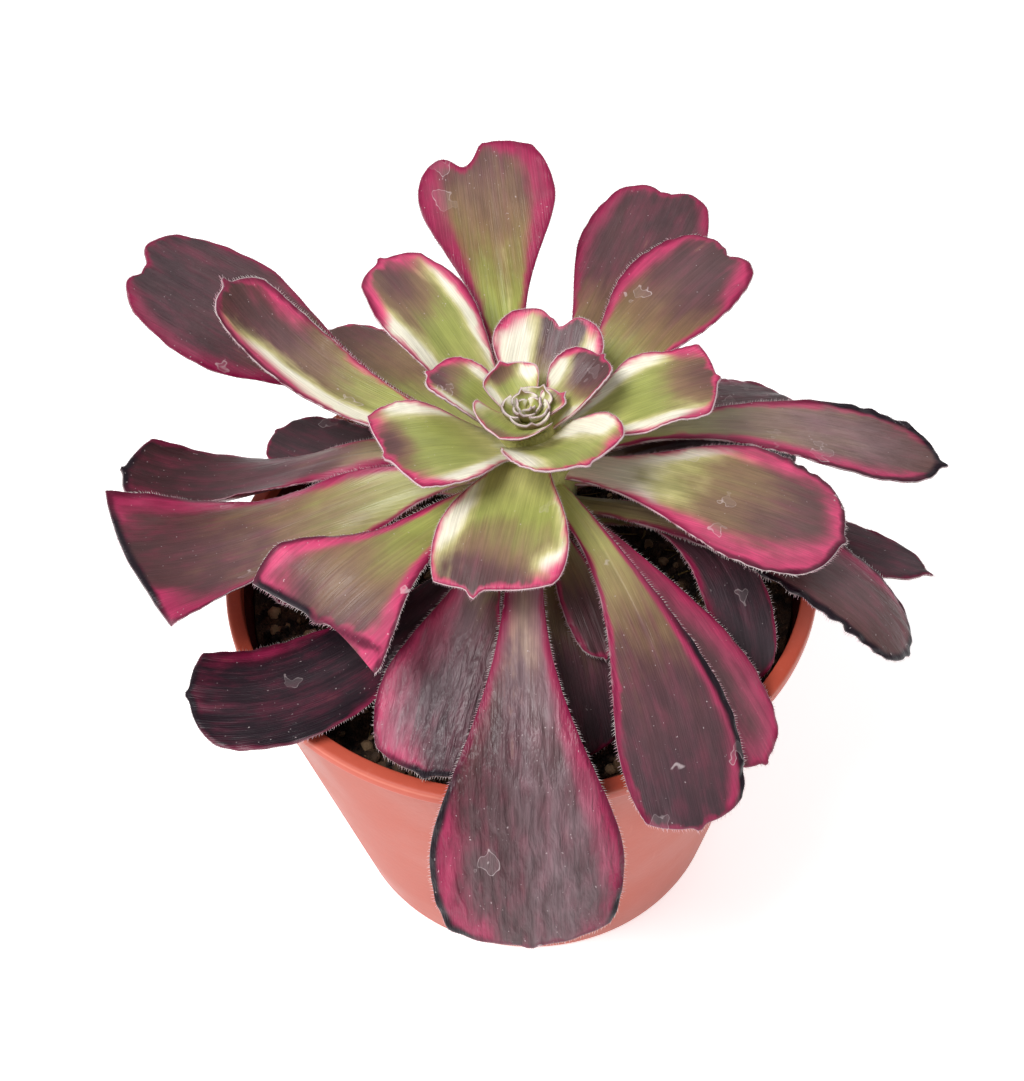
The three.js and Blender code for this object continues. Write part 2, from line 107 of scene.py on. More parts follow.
# Lumps in the soil: least and greatest radius, rings and columns of a lump's mesh, flatness.
CRUMB = ((0.5, 1.5), (2, 5), 0.8)
STONE = ((0.9, 2.4), (3, 6), 0.75)
LUMP_ROUGHNESS = (0.78, 1.15)  # each point's distance from the middle, as a share of the radius
LUMP_STRETCH = (0.65, 1.2)  # along each of its own axes
LUMP_CLEARANCE = 1.4  # times the greatest radius from the pot's wall
LUMP_RISE = 0.25  # how far a lump's middle is above the ground
FIBRE = {"half_length": (1.5, 4.5), "half_thickness": (0.12, 0.35), "rise": 0.35, "bow": 0.22,
         "tilt": 12, "taper": (0.3, 1, 1, 0.8, 0.3)}
STEM_LOW, STEM_HIGH = corners("stem")
STEM_X = round((STEM_LOW[0] + STEM_HIGH[0]) / 2, 1)
STEM_Y = round((STEM_LOW[1] + STEM_HIGH[1]) / 2, 1)
STEM = {
    "root_end": STEM_LOW[2],
    "root_radius": 5.5,
    "scars": (88, 91, 94, 97, 100),  # heights of the ridges left by fallen leaves
    "scar_height": 0.5,
    "scar_width": 1.6,
    "smooth_from": 126,  # height above which the stem has neither scars nor wrinkles
    "wrinkles": ((0.12, 11, 0.3), (0.08, 23, -0.5)),  # depth, number round the stem and slant
    # height and radius: slim in the soil, thicker where the leaves sit, narrow at the growing tip
    "profile": ((84, 7), (98, 7.5), (106, 9.5), (124, 9.5), (128, 7.5), (132.5, 4.8)),
}
CORE = {"foot": STEM_HIGH[2] + 0.3, "foot_radius": 4.2, "top": 135.6, "top_radius": 1.2, "cap": 0.5}

# A leaf that leaves something out of its row takes it from here.
LEAF = {
    "neck": 0.3,  # width at the base, as a share of the full width
    "wide": 0.66,  # where along its length the leaf is widest
    "taper": 1,  # above 1, the lower part stays narrow for longer
    "blunt": 0.8,  # 1 is an elliptic end, 0.3 a nearly square one
    "point": 1,  # length of the small point at the tip
    "point_at": 0,  # where the point is, as for the notch
    "notch": 0,  # depth of a notch in the end
    "notch_at": 0,  # where the notch is: -1 at the right edge, 1 at the left edge
    "skew": 0,  # above 0, the end's left corner reaches further than its right one
    "cup": (35, 10),  # half-angle of the hollow cross-section at the base and the tip
    "roll": (0, 0),  # turn about the midrib at both ends: above 0 lifts the left edge
    "wave": (0, 2, 0),  # waved edges: height, number of waves and phase
    "curl": 0,  # how far the end rolls under
    "bend": 0,  # extra turn to the left at the tip
    "handle": 0.38,  # share of the length over which each end keeps its direction
    "thick": 2.6,  # thickness at the base of the midrib
    "edge": 0.5,  # thickness at the edges
    "sink": 1.5,  # how deep the base starts inside what it grows from
    "crisp": 0.15,  # height of the small crinkles at the edges near the end
    "cream": (),
    "pink": (),
    "shade": (),
    "dry": (),
    # Patches of a veil of waxy coat and painted sheen on the folds.
    "wax": [(0.75, 0, 0.4, 3, 0.3)],
    "hair": 1,  # length of the marginal hairs, as a share of the usual length
    "hair_start": 0.12,  # share of the length from which the edge has hairs
    "grid": (),  # rows and columns of the mesh, where they aren't the user's
}
# The inner leaves and the heart's small leaves take these values instead.
INNER_LEAF = {"hair": 0.6, "crisp": 0.08}
HEART_LEAF = {"neck": 0.5, "wide": 0.6, "cup": (60, 55), "thick": 1.4, "sink": 0.6, "edge": 0.3,
              "crisp": 0.04, "hair": 0.45, "hair_start": 0.45, "grid": (20, 13)}
LEAF_SEEDS = {"inner": 0, "middle": 20, "outer": 40, "heart": 200}  # leaves count on from these
PATTERN_SHIFT = 7.3  # from leaf to leaf, so that no two have the same pattern
RIB_POINTS = 201
NEAREST_AXIS = 0.3  # least distance of a leaf's base from the stem's axis
NOTCH_WIDTH = 0.28  # shares of the half width
POINT_WIDTH = 0.1
CUP_GROWTH = 1.1  # above 1, the hollow has its last shape before the tip
CURL_START = 0.72  # share of the length from which the end rolls under
THINNING = 0.55  # how much of the midrib's thickness is lost by the tip
WAVE_POWER = 2.5  # how the waves grow from the midrib to the edges
WAVE_GROWTH = 1.6
WAVE_LEAD = 1.3  # radians, ahead on the left edge and behind on the right one
ROUND_EDGE, ROUND_TIP = 0.06, 0.02  # shares of the half width and the length that are rounded off
THIN_EDGE = 0.3  # share of the edge's thickness that is left where the rounding ends
CHANNEL_DEPTH, CHANNEL_WIDTH = 0.25, 0.09  # the groove over the midrib; its width is a share
# Crinkles are sums of waves: height, and radians per unit of u, of v, of the leaf's seed and of the
# side, which is -1 right of the midrib and 1 left of it.
SIDE_CRINKLES = ((1, 40, 0, 2, 2.1), (0.7, 87, 0, 5, 1))
END_CRINKLES = ((1, 0, 7, 3, 0), (0.6, 0, 17, 1, 0))
DRY_CRINKLES = ((1, 95, 0, 0, 11), (0.8, 61, 23, 1, 0))
DRY_CRINKLE = 0.3  # height of the crinkles where an edge has dried
CRISP_START, CRISP_RUN = 0.3, 0.4  # the side crinkles grow from here, over this share of the length
END_START, END_RUN = 0.85, 0.15  # the same for the end crinkles
FLATTEST = 1e-3  # least half-angle of the cross-section in radians, so that it is still an arc
BASE_EDGE = 0.02  # share of the length below which the sides don't count as an edge
HAIRLESS = 0.06  # share of the marginal hairs that are missing
LEAST_HAIR_WIDTH = 0.6  # short hairs keep this share of the usual width and spacing
HAIR_LEAN, HAIR_SPREAD = 0.35, 0.16  # towards the tip, and at random, as shares of a hair's length
HAIR_ROOT = 0.15  # how deep a hair starts inside the edge
HAIR_JITTER = 0.3  # most that a hair is moved along the edge, as a share of the spacing
HAIR_LENGTHS = (0.75, 1.25)  # shares of the usual length
HAIR_SEED = 1000


def leaf_row(base, tip, pitch, width, tone, mood, **rest):
    """A leaf's row of values. Those that every leaf has come first, without their names."""
    return dict(rest, base=base, tip=tip, pitch=pitch, width=width, tone=tone, mood=mood)


# Each leaf is one row, in the order of leaf_row. base is the azimuth and height where it leaves the
# stem, tip is the reach from the stem's axis, the azimuth and the height, and pitch is the midrib's
# slope at the base and at the tip. tone is the share of the length that stays green, the width of
# the pink margin and how bright that pink is. mood is how dark the end is, how much of its edge has
# dried black, and how puckered the leaf is, which also sets the painted shade and highlight on its
# folds. cream, pink, shade (darker), dry (black) and wax (a veil of waxy coat and painted sheen on
# the folds) are lists of patches: each is the place u and v of its middle, its reach along u and
# along v, and its strength. u runs from base to tip, and v from the right edge, -1, to the left, 1.
INNER_LEAVES = [
    leaf_row((24, 131), (18, 30, 141), (35, 20), 15, (0.5, 1, 1), (0.5, 0, 0.05), neck=0.45, wide=0.6,
        cup=(55, 50), thick=1.8, cream=[(0.55, 0.85, 0.25, 0.4, 1), (0.3, -0.85, 0.2, 0.35, 0.8)],
        pink=[(0.9, 0.9, 0.2, 0.3, 0.6)], shade=[(0.75, -0.1, 0.25, 0.5, 0.35)]),
    leaf_row((160, 130.5), (20.5, 160, 141), (35, 15), 15, (0.8, 1, 1), (0.5, 0, 0.05), neck=0.45,
        wide=0.55, cup=(50, 40), thick=1.8, skew=0.05, cream=[(0.6, 0.9, 0.4, 0.34, 1.1),
        (0.5, -0.9, 0.3, 0.3, 0.9)], pink=[(0.85, -0.9, 0.2, 0.35, 0.6), (0.9, 0.9, 0.15, 0.3, 0.5)],
        shade=[(0.95, 0.2, 0.25, 0.6, 0.35)]),
    leaf_row((72, 128.5), (23, 71, 143.5), (48, 45), 24, (0.4, 1.2, 1), (0.55, 0, 0.05), neck=0.35,
        cup=(45, 20), notch=3.5, notch_at=-0.1, thick=2, cream=[(0.6, 0.7, 0.4, 0.42, 1),
        (0.62, -1, 0.26, 0.36, 1.1)], pink=[(0.85, 0.85, 0.2, 0.4, 0.7), (0.85, -0.9, 0.2, 0.28, 0.5)],
        shade=[(0.8, -0.3, 0.25, 0.5, 0.4)]),
    leaf_row((296, 130.1), (23.5, 295.5, 141), (30, 10), 24.5, (1.05, 1, 1), (0.12, 0, 0.05), neck=0.72,
        wide=0.55, blunt=0.7, cup=(52, 20), thick=1.7, cream=[(0.45, 0.8, 0.35, 0.42, 1),
        (0.6, -0.92, 0.38, 0.36, 1.1), (0.1, 0, 0.2, 2, 0.4)], pink=[(0.9, 0.7, 0.12, 0.4, 0.5)]),
    leaf_row((130, 126), (43, 131, 150.3), (35, 20), 21, (0.9, 1.3, 1), (0.5, 0.1, 0.05), neck=0.35,
        wide=0.62, taper=1.2, blunt=0.6, cup=(40, 10), wave=(0.8, 2, 0), thick=2.2,
        cream=[(0.55, 0.92, 0.24, 0.36, 1.2), (0.62, -0.97, 0.32, 0.34, 1.25), (0.05, 0, 0.25, 2, 0.55)],
        pink=[(0.95, -0.4, 0.12, 0.5, 0.6), (0.88, 0.9, 0.14, 0.3, 1), (0.72, -1, 0.22, 0.2, 1.1)],
        shade=[(0.85, 0.1, 0.22, 0.5, 0.4), (0.6, 0.6, 0.15, 0.3, 0.25)]),
    leaf_row((8, 126.5), (38, 4, 139), (25, 15), 23, (0.85, 1.3, 1), (0.15, 0, 0.05), neck=0.35,
        blunt=0.6, cup=(45, 15), wave=(0.8, 2, 0), thick=2.2, cream=[(0.42, 0.93, 0.34, 0.32, 1.2),
        (0.6, -0.95, 0.4, 0.34, 1.2), (0.05, 0, 0.2, 2, 0.5)], pink=[(0.88, 0.9, 0.13, 0.3, 0.85),
        (0.88, -0.9, 0.12, 0.22, 0.7)], shade=[(0.95, 0.1, 0.2, 0.5, 0.3)]),
    leaf_row((208, 128.8), (31, 208, 139.5), (25, 5), 27, (0.98, 1.2, 1), (0.45, 0, 0.05), blunt=0.45,
        cup=(40, 10), thick=2.2, neck=0.38, cream=[(0.55, 0.95, 0.45, 0.26, 1.15),
        (0.62, -0.95, 0.32, 0.28, 1), (0.05, 0, 0.2, 2, 0.5)], pink=[(0.92, -0.8, 0.12, 0.4, 0.6),
        (0.98, 0.4, 0.05, 0.3, 0.3), (0.9, 0.9, 0.15, 0.3, 0.8)],
        shade=[(0.92, -0.25, 0.13, 0.45, 0.42)]),
    leaf_row((258, 126.5), (40, 257, 127), (20, -20), 26, (0.75, 1.1, 1), (0.45, 0, 0.05), neck=0.45,
        wide=0.74, blunt=0.45, cup=(40, 5), thick=2.2, skew=-0.14, point=2, point_at=-0.3,
        cream=[(0.55, -0.92, 0.32, 0.3, 1), (0.82, 0.85, 0.1, 0.35, 0.7), (0.5, 0.95, 0.4, 0.14, 0.5)],
        pink=[(0.88, 0.85, 0.1, 0.35, 0.7), (0.85, -0.95, 0.1, 0.2, 0.3)],
        shade=[(0.97, -0.3, 0.14, 0.6, 0.6)]),
]
MIDDLE_LEAVES = [
    leaf_row((97, 122.5), (67, 95.5, 155), (25, 25), 30, (0.64, 1.5, 0.42), (0.42, 0, 0.1), neck=0.22,
        wide=0.8, taper=2.1, notch=5, notch_at=0.35, skew=-0.1, cup=(40, 10),
        cream=[(0.25, 1, 0.3, 0.2, 0.35), (0.3, -0.3, 0.25, 0.12, 0.35)],
        pink=[(0.75, 0.95, 0.24, 0.4, 1.6), (0.82, -0.95, 0.25, 0.4, 1.6), (0.35, 1, 0.3, 0.12, 0.6),
        (1, -0.5, 0.06, 0.5, 0.9)], wax=[(0.88, 0, 0.22, 1, 0.35)]),
    leaf_row((42, 123), (61, 41, 143), (25, 5), 26, (0.46, 1.3, 0.7), (0.5, 0.3, 0.1), neck=0.26,
        wide=0.7, taper=1.4, notch=3, notch_at=-0.1, cup=(40, 10), cream=[(0.35, -1, 0.2, 0.15, 0.5)],
        pink=[(0.78, 0.95, 0.25, 0.3, 1.3), (0.9, -0.9, 0.14, 0.4, 1.6), (0.5, -1, 0.2, 0.15, 0.6)],
        shade=[(0.85, -0.4, 0.2, 0.4, 0.3), (0.9, 0.5, 0.15, 0.5, 0.25)], wax=[(0.8, 0, 0.3, 1, 0.4)]),
    leaf_row((158, 124.8), (71, 150, 144.5), (-4, 50), 18, (0.6, 1.2, 0.9), (0.45, 0.5, 0.15), neck=0.33,
        wide=0.72, blunt=0.6, cup=(45, 40), roll=(0, -5), point=2, cream=[(0.4, 0.95, 0.38, 0.5, 1.2),
        (0.68, 0.9, 0.16, 0.5, 1)], pink=[(0.75, 0.95, 0.18, 0.4, 1.1), (0.85, -0.8, 0.12, 0.5, 0.7)],
        shade=[(0.85, -0.2, 0.2, 0.6, 0.3)], wax=[(0.65, -0.2, 0.3, 0.7, 0.5)]),
    leaf_row((338, 122.5), (65, 337, 120), (6, -13), 31, (0.5, 1.3, 0.9), (0.45, 0.7, 0.15), neck=0.24,
        wide=0.68, taper=1.2, cup=(40, 0), cream=[(0.12, 0, 0.28, 2, 0.75), (0.2, -0.95, 0.2, 0.28, 0.9),
        (0.3, 0.95, 0.25, 0.25, 0.9), (0.55, 0.98, 0.15, 0.14, 0.5)], pink=[(0.1, 0, 0.3, 1.5, 0.35),
        (0.6, -0.95, 0.25, 0.35, 1.6), (0.88, -0.75, 0.17, 0.45, 2.2), (0.7, 0.92, 0.2, 0.3, 1.2),
        (0.97, 0.3, 0.08, 0.6, 0.8)], dry=[(0.82, 0.98, 0.14, 0.14, 0.6), (0.99, -0.3, 0.03, 0.5, 0.4)],
        wax=[(0.2, 0, 0.3, 1.5, 0.5), (0.8, 0, 0.3, 1, 0.3)]),
    leaf_row((228, 121.5), (57, 220.5, 120.5), (14, -25), 36, (0.66, 1.3, 0.85), (0.6, 0.6, 0.1),
        neck=0.19, wide=0.95, taper=2.2, blunt=0.3, skew=-2.4, cup=(40, 0), curl=2, roll=(0, -10),
        wave=(2.5, 1, 85), cream=[(0.3, 0.95, 0.3, 0.22, 0.6), (0.3, -0.95, 0.3, 0.22, 0.55)],
        pink=[(0.68, -0.95, 0.34, 0.3, 1.5), (0.78, 0.95, 0.28, 0.28, 1.7), (0.95, -0.6, 0.1, 0.3, 0.5)],
        dry=[(1, -0.5, 0.05, 0.6, 1)]),
    leaf_row((183, 120.5), (84, 189, 111.5), (-2, 18), 37, (0.46, 1.2, 0.5), (0.65, 0.5, 0.1), neck=0.17,
        wide=0.84, taper=1.3, blunt=0.25, skew=-0.35, cup=(40, 10), roll=(0, -3), wave=(6, 1.1, 80),
        point=0, cream=[(0.2, 1, 0.25, 0.2, 0.4)], pink=[(0.75, -1, 0.4, 0.35, 1.2),
        (0.9, 0.95, 0.2, 0.45, 2.2), (0.88, -0.5, 0.15, 0.4, 0.3), (0.5, 1, 0.3, 0.12, 0.8),
        (0.2, -1, 0.3, 0.2, 0.6)], dry=[(1, 0, 0.04, 1, 1)], wax=[(0.6, 0.2, 0.3, 0.8, 0.4),
        (0.15, 0, 0.25, 1.5, 0.6)]),
    leaf_row((298, 121), (75, 291.5, 91), (8, -50), 24, (0.3, 1.2, 0.5), (0.8, 0.3, 0.15), neck=0.22,
        wide=0.8, taper=1.5, blunt=0.6, cup=(40, -10), cream=[(0.2, -1, 0.2, 0.15, 0.5)],
        pink=[(0.4, -1, 0.5, 0.16, 0.9), (0.55, 1, 0.35, 0.26, 1.6), (0.95, 0.9, 0.08, 0.3, 1)],
        dry=[(0.78, 1, 0.3, 0.2, 1.2)]),
    leaf_row((15, 121), (88, 3, 109), (10, -12), 19.5, (0.5, 1.5, 0.75), (0.35, 0.8, 0.4), neck=0.28,
        wide=0.76, taper=1.5, blunt=0.95, point=2, cup=(40, 20), roll=(0, 8),
        pink=[(0.68, -0.98, 0.32, 0.4, 1.5), (0.6, 1, 0.25, 0.25, 0.8), (0.2, -1, 0.2, 0.2, 0.6)],
        dry=[(0.85, 1, 0.2, 0.25, 1.1), (1, 0, 0.06, 1, 1)], wax=[(0.4, 0.2, 0.4, 1, 1.2),
        (0.75, 0, 0.2, 1, 0.5)]),
]
OUTER_LEAVES = [
    leaf_row((138, 120), (93.5, 152, 146), (-8, 36), 33, (0.3, 0.9, 0.25), (0.75, 0.1, 0.35), neck=0.18,
        wide=0.75, taper=2.2, notch=4, cup=(35, 10), roll=(0, -6), pink=[(0.72, 0.98, 0.28, 0.32, 1),
        (0.9, -0.5, 0.12, 0.3, 0.45), (0.96, 0.6, 0.1, 0.3, 0.5), (0.5, -1, 0.4, 0.15, 0.4)]),
    leaf_row((61, 118.5), (77, 62, 140), (22, 15), 28, (0.3, 1, 0.35), (0.65, 0.1, 0.3), neck=0.23,
        wide=0.74, taper=1.6, notch=3, pink=[(0.8, 0.98, 0.25, 0.32, 1), (0.93, -0.95, 0.1, 0.3, 0.7),
        (1, 0.3, 0.05, 0.5, 0.4)]),
    leaf_row((264, 118.5), (84, 266, 75), (-2, -70), 37.5, (0.1, 1, 0.3), (0.6, 0.5, 1), neck=0.18,
        wide=0.82, taper=1.9, blunt=0.5, cup=(40, -20), cream=[(0.1, 0, 0.27, 1.5, 0.5)],
        pink=[(0.1, 0, 0.3, 1.5, 1), (0.2, -1, 0.3, 0.28, 0.7), (0.2, 1, 0.3, 0.25, 0.6),
        (0.55, 1, 0.2, 0.14, 0.8), (0.68, 0.98, 0.2, 0.34, 2), (0.85, -0.9, 0.13, 0.4, 1.9),
        (0.95, -0.6, 0.06, 0.3, 0.7), (0.97, 0.6, 0.05, 0.3, 0.4)], shade=[(0.6, -0.25, 0.2, 0.3, 0.4)],
        dry=[(0.8, -1, 0.2, 0.16, 1.1), (0.97, -0.8, 0.05, 0.3, 0.8), (0.95, 1, 0.08, 0.14, 0.8)],
        wax=[(0.72, 0.38, 0.5, 0.5, 1.3), (0.38, 0.1, 0.22, 0.8, 0.7), (0.08, 0, 0.25, 2, 0.8),
        (0.85, -0.5, 0.3, 0.3, 0.35)]),
    leaf_row((244, 114), (62, 247, 95), (0, -35), 28, (0.1, 1.2, 0.65), (0.75, 0.4, 0.9), neck=0.2,
        wide=0.78, taper=1.6, blunt=0.7, cup=(35, -20), pink=[(0.7, -0.9, 0.35, 0.75, 2.6),
        (0.3, -1, 0.3, 0.4, 1.4)], dry=[(1, 0.2, 0.05, 1, 0.8)], wax=[(0.6, 0.1, 0.5, 0.7, 0.8),
        (0.6, -0.8, 0.4, 0.5, 1.8)]),
    leaf_row((151, 115.5), (93, 166.5, 105.5), (14, 34), 22, (0.2, 1.1, 0.45), (0.65, 0.4, 0.1),
        neck=0.22, wide=0.78, taper=1.8, blunt=0.6, cup=(35, 20), bend=-10, wave=(3.5, 1.1, 85),
        pink=[(0.78, 0.3, 0.18, 0.4, 0.45), (0.93, 0.6, 0.08, 0.4, 0.3), (0.25, 0.9, 0.25, 0.4, 0.65)],
        dry=[(1, 0, 0.04, 1, 0.8)], wax=[(0.3, 0, 0.4, 1, 0.6)]),
    leaf_row((150, 108), (70, 146, 98.5), (-5, 0), 21, (0.1, 0.8, 0.3), (0.75, 0.1, 0.2), neck=0.22,
        wide=0.75, cup=(30, 10), pink=[(0.8, 0.9, 0.2, 0.3, 0.4)]),
    leaf_row((219, 105.5), (80, 206, 95.8), (-18, 5), 26, (-0.2, 0.8, 0.2), (1, 0.5, 0.1), neck=0.2,
        wide=0.74, blunt=0.5, skew=-0.2, cup=(30, 0), bend=-25, pink=[(0.8, -0.9, 0.16, 0.3, 0.7),
        (0.97, 0, 0.05, 0.5, 0.4)], dry=[(1, 0, 0.04, 1, 0.9)], wax=[(0.6, 0, 0.4, 0.7, 0.15)]),
    leaf_row((308, 116), (69, 308, 88.5), (8, -45), 18, (0.1, 1, 0.7), (0.35, 0.2, 0.2), neck=0.22,
        wide=0.78, cup=(30, -10), taper=1.5, pink=[(0.6, 0.7, 0.45, 0.9, 2.6),
        (0.9, 0.2, 0.12, 0.6, 1.5)], wax=[(0.7, 0, 0.5, 1, 0.6)]),
    leaf_row((340, 112), (82, 335, 95), (4, -58), 18, (0.1, 1, 0.4), (0.4, 0.8, 0.4), neck=0.22,
        wide=0.72, cup=(30, -10), pink=[(0.75, 0.95, 0.2, 0.35, 1.2), (0.4, -0.9, 0.3, 0.25, 0.5),
        (0.6, 0.3, 0.25, 0.5, 0.6)], dry=[(0.7, -1, 0.35, 0.22, 1.1), (1, 0, 0.06, 1, 1)],
        wax=[(0.55, 0.1, 0.5, 1, 0.8)]),
    leaf_row((8, 103), (84, 351, 94.5), (-8, -5), 15, (0.1, 0.8, 0.3), (0.8, 0.5, 0.2), wide=0.65,
        blunt=0.95, point=2, cup=(30, 0), pink=[(0.6, 0.9, 0.3, 0.3, 0.3)]),
    leaf_row((354, 107), (55.5, 319.5, 90), (12, -60), 14, (0.05, 0.8, 0.3), (1, 0.2, 0.3), wide=0.7,
        cup=(30, 0), bend=-5, handle=0.5, neck=0.3, taper=1.2, pink=[(0.6, -0.9, 0.3, 0.2, 0.4)]),
    leaf_row((302, 108), (46, 312, 88), (0, -50), 14, (-0.05, 0.9, 0.45), (1, 0.1, 0.2), wide=0.65,
        cup=(30, 0), pink=[(0.5, 0.9, 0.4, 0.5, 0.9)]),
    leaf_row((275, 111), (51, 278, 88), (0, -50), 22, (0.3, 0.8, 0.2), (0.9, 0.2, 0.2), neck=0.25,
        wide=0.7, cup=(30, 0), pink=[(0.6, -1, 0.4, 0.15, 0.4)]),
    leaf_row((287, 114), (40, 288, 104), (0, -35), 10, (0.3, 1, 0.6), (0.6, 0.2, 0.2), neck=0.33,
        wide=0.7, cup=(30, 0), cream=[(0.3, 1, 0.3, 0.2, 0.3)], pink=[(0.5, 1, 0.4, 0.2, 0.7),
        (0.5, -1, 0.4, 0.2, 0.5)]),
    leaf_row((206, 115), (56, 188, 100), (-3, -25), 22, (0.15, 1, 0.35), (0.7, 0.2, 0.2), neck=0.22,
        wide=0.7, cup=(30, 0), pink=[(0.5, 0.9, 0.4, 0.3, 0.6), (0.5, -0.9, 0.4, 0.3, 0.4)]),
    leaf_row((246, 98), (44, 236, 88.5), (0, -50), 15, (0.1, 1, 0.4), (0.8, 0.2, 0.2), wide=0.7,
        cup=(30, 0), pink=[(0.5, -0.9, 0.4, 0.4, 0.7)]),
    leaf_row((354, 117), (57, 356, 113.5), (5, -10), 17, (0.6, 1, 0.8), (0.4, 0.3, 0.1), neck=0.25,
        cup=(35, 0), cream=[(0.3, -1, 0.3, 0.2, 0.4)], pink=[(0.7, 0.9, 0.3, 0.3, 0.6),
        (0.8, -0.9, 0.2, 0.3, 0.6)]),
    # Near-black all over: partly the leaf's own colour, partly painted shade where it covers the pot's
    # rim on the right.
    leaf_row((24, 111), (63, 19, 101), (8, -30), 22, (0.05, 0.8, 0.2), (1, 0.5, 0.2), neck=0.23,
        cup=(35, 0)),
    leaf_row((30, 116.5), (70, 29, 103), (8, -25), 20, (0.2, 1, 0.5), (0.6, 0.1, 0.2), neck=0.27,
        cup=(35, 0), pink=[(0.7, 0.9, 0.3, 0.3, 0.6)]),
    leaf_row((124, 111.5), (78, 126, 108), (5, -5), 22, (0.6, 1, 0.8), (0.3, 0, 0.1), neck=0.25,
        cup=(35, 0), cream=[(0.6, 0.9, 0.3, 0.3, 0.8)], pink=[(0.8, 0.9, 0.2, 0.3, 0.5)]),
    leaf_row((82, 114), (66, 78, 96), (5, -35), 24, (0.15, 1, 0.35), (0.7, 0.1, 0.3), neck=0.23,
        wide=0.68, cup=(35, 0), pink=[(0.75, 0.95, 0.25, 0.3, 0.8), (0.8, -0.95, 0.2, 0.25, 0.6)]),
    leaf_row((106, 108.5), (64, 104, 95), (0, -35), 22, (0.15, 1, 0.35), (0.75, 0.1, 0.3), neck=0.25,
        wide=0.68, cup=(35, 0), pink=[(0.75, 0.95, 0.25, 0.3, 0.7), (0.85, -0.95, 0.15, 0.25, 0.5)]),
    leaf_row((50, 109), (60, 50, 95), (0, -35), 24, (0.15, 1, 0.35), (0.7, 0.1, 0.3), neck=0.23,
        wide=0.68, cup=(35, 0), pink=[(0.75, -0.95, 0.25, 0.3, 0.7), (0.9, 0.95, 0.12, 0.25, 0.5)]),
]
HEART_LEAVES = [
    leaf_row((120, 134), (10, 119, 140.8), (55, 75), 14.5, (0.85, 0.7, 1), (0.2, 0, 0),
        cream=[(0.7, -0.8, 0.3, 0.4, 1), (0.45, 0.9, 0.35, 0.4, 0.9)],
        shade=[(0.85, 0.3, 0.2, 0.5, 0.3)]),
    leaf_row((238, 134), (11, 240, 138), (20, 25), 19.5, (0.9, 0.7, 1), (0.1, 0, 0), skew=0.15,
        cream=[(0.6, 0.9, 0.4, 0.3, 0.8), (0.6, -0.9, 0.4, 0.25, 0.6)]),
    leaf_row((12, 134), (7.6, 18, 137.4), (35, 40), 8, (0.85, 0.8, 1), (0.1, 0, 0),
        cream=[(0.6, 0.9, 0.4, 0.3, 0.9), (0.6, -0.9, 0.4, 0.3, 0.8)]),
]
BUD = {
    "leaves": 9,
    "first_azimuth": 275,
    "golden_angle": 137.5,
    "foot": CORE["foot"] + 1,
    "foot_step": 0.2,
    "reach": 6.3,
    "reach_step": 0.6,
    "top": 137.6,
    "width": 10.4,
    "width_step": 0.85,
    "pitch": (50, 80),
    "cup": (75, 70),
}


# ---- Shapes ---------------------------------------------------------------------------------


def smooth(x):
    """Rises from 0 to 1 with level ends while x runs from 0 to 1: 3 x squared less 2 x cubed."""
    x = np.clip(x, 0, 1)
    return x * x * (3 - 2 * x)


def blend(start, end, share):
    """The value that lies that share of the way from start to end."""
    return start + (end - start) * share


def unit(vectors):
    """The vectors, each divided by its length."""
    return vectors / np.linalg.norm(vectors, axis=-1, keepdims=True)


def wrap(angle):
    """The same angle between -180 and 180 degrees."""
    return (angle + 180) % 360 - 180


def round_steps(count):
    """Angles in radians that divide a full turn evenly."""
    return 2 * np.pi * np.arange(count) / count


def heading(pitch, azimuth):
    """Unit vector at a pitch above the horizon and an azimuth from +X."""
    p, a = np.radians(pitch), np.radians(azimuth)
    return np.stack([np.cos(p) * np.cos(a), np.cos(p) * np.sin(a), np.sin(p) + 0 * a], -1)


def value_noise(x, y, seed):
    """Random values at whole-number points, joined smoothly between them, from -1 to 1."""
    column, row = np.floor(x), np.floor(y)
    share_x, share_y = smooth(x - column), smooth(y - row)

    def corner(i, j):
        wild = np.sin((column + i) * 127.1 + (row + j) * 311.7 + seed * 74.7) * 43758.5453
        return 2 * (wild - np.floor(wild)) - 1

    near = blend(corner(0, 0), corner(1, 0), share_x)
    far = blend(corner(0, 1), corner(1, 1), share_x)
    return blend(near, far, share_y)


def rough_noise(x, y, size, seed, octaves):
    """Noise of that size with finer and weaker copies added, each half the size of the last."""
    x, y = x / size, y / size
    return sum(value_noise(x * 2**k, y * 2**k, seed + k) / 2**k for k in range(octaves))


def triangles(faces):
    """Triangles as faces, whose fourth corner is -1."""
    return np.pad(faces, ((0, 0), (0, 1)), constant_values=-1)


def sheet_faces(rows, columns):
    """Quads between neighbouring points of a grid, facing up where rows x columns does."""
    first = (np.arange(rows - 1)[:, None] * columns + np.arange(columns - 1)).ravel()
    return np.stack([first, first + columns, first + columns + 1, first + 1], 1)


def ring_faces(rings, columns):
    """Quads between neighbouring rings that close on themselves, facing away from the axis."""
    ring = np.arange(rings - 1)[:, None] * columns
    here = (ring + np.arange(columns)).ravel()
    beside = (ring + (np.arange(columns) + 1) % columns).ravel()
    return np.stack([here, beside, beside + columns, here + columns], 1)


def lathe(rings):
    """A closed body from rings of points, the first and last of which shrink to poles.

    rings[i, j] is point j of ring i. The rings run from the lower pole, out and up, to the last.
    """
    count, columns = rings.shape[:2]
    inner = rings[1:-1].reshape(-1, 3)
    points = np.concatenate([inner, rings[:1].mean(1), rings[-1:].mean(1)])
    here = np.arange(columns)
    beside = (here + 1) % columns
    low, high = len(inner), len(inner) + 1
    last = (count - 3) * columns
    bottom = np.stack([np.full(columns, low), beside, here], 1)
    top = np.stack([np.full(columns, high), last + here, last + beside], 1)
    return points, np.concatenate([ring_faces(count - 2, columns), triangles(bottom), triangles(top)])


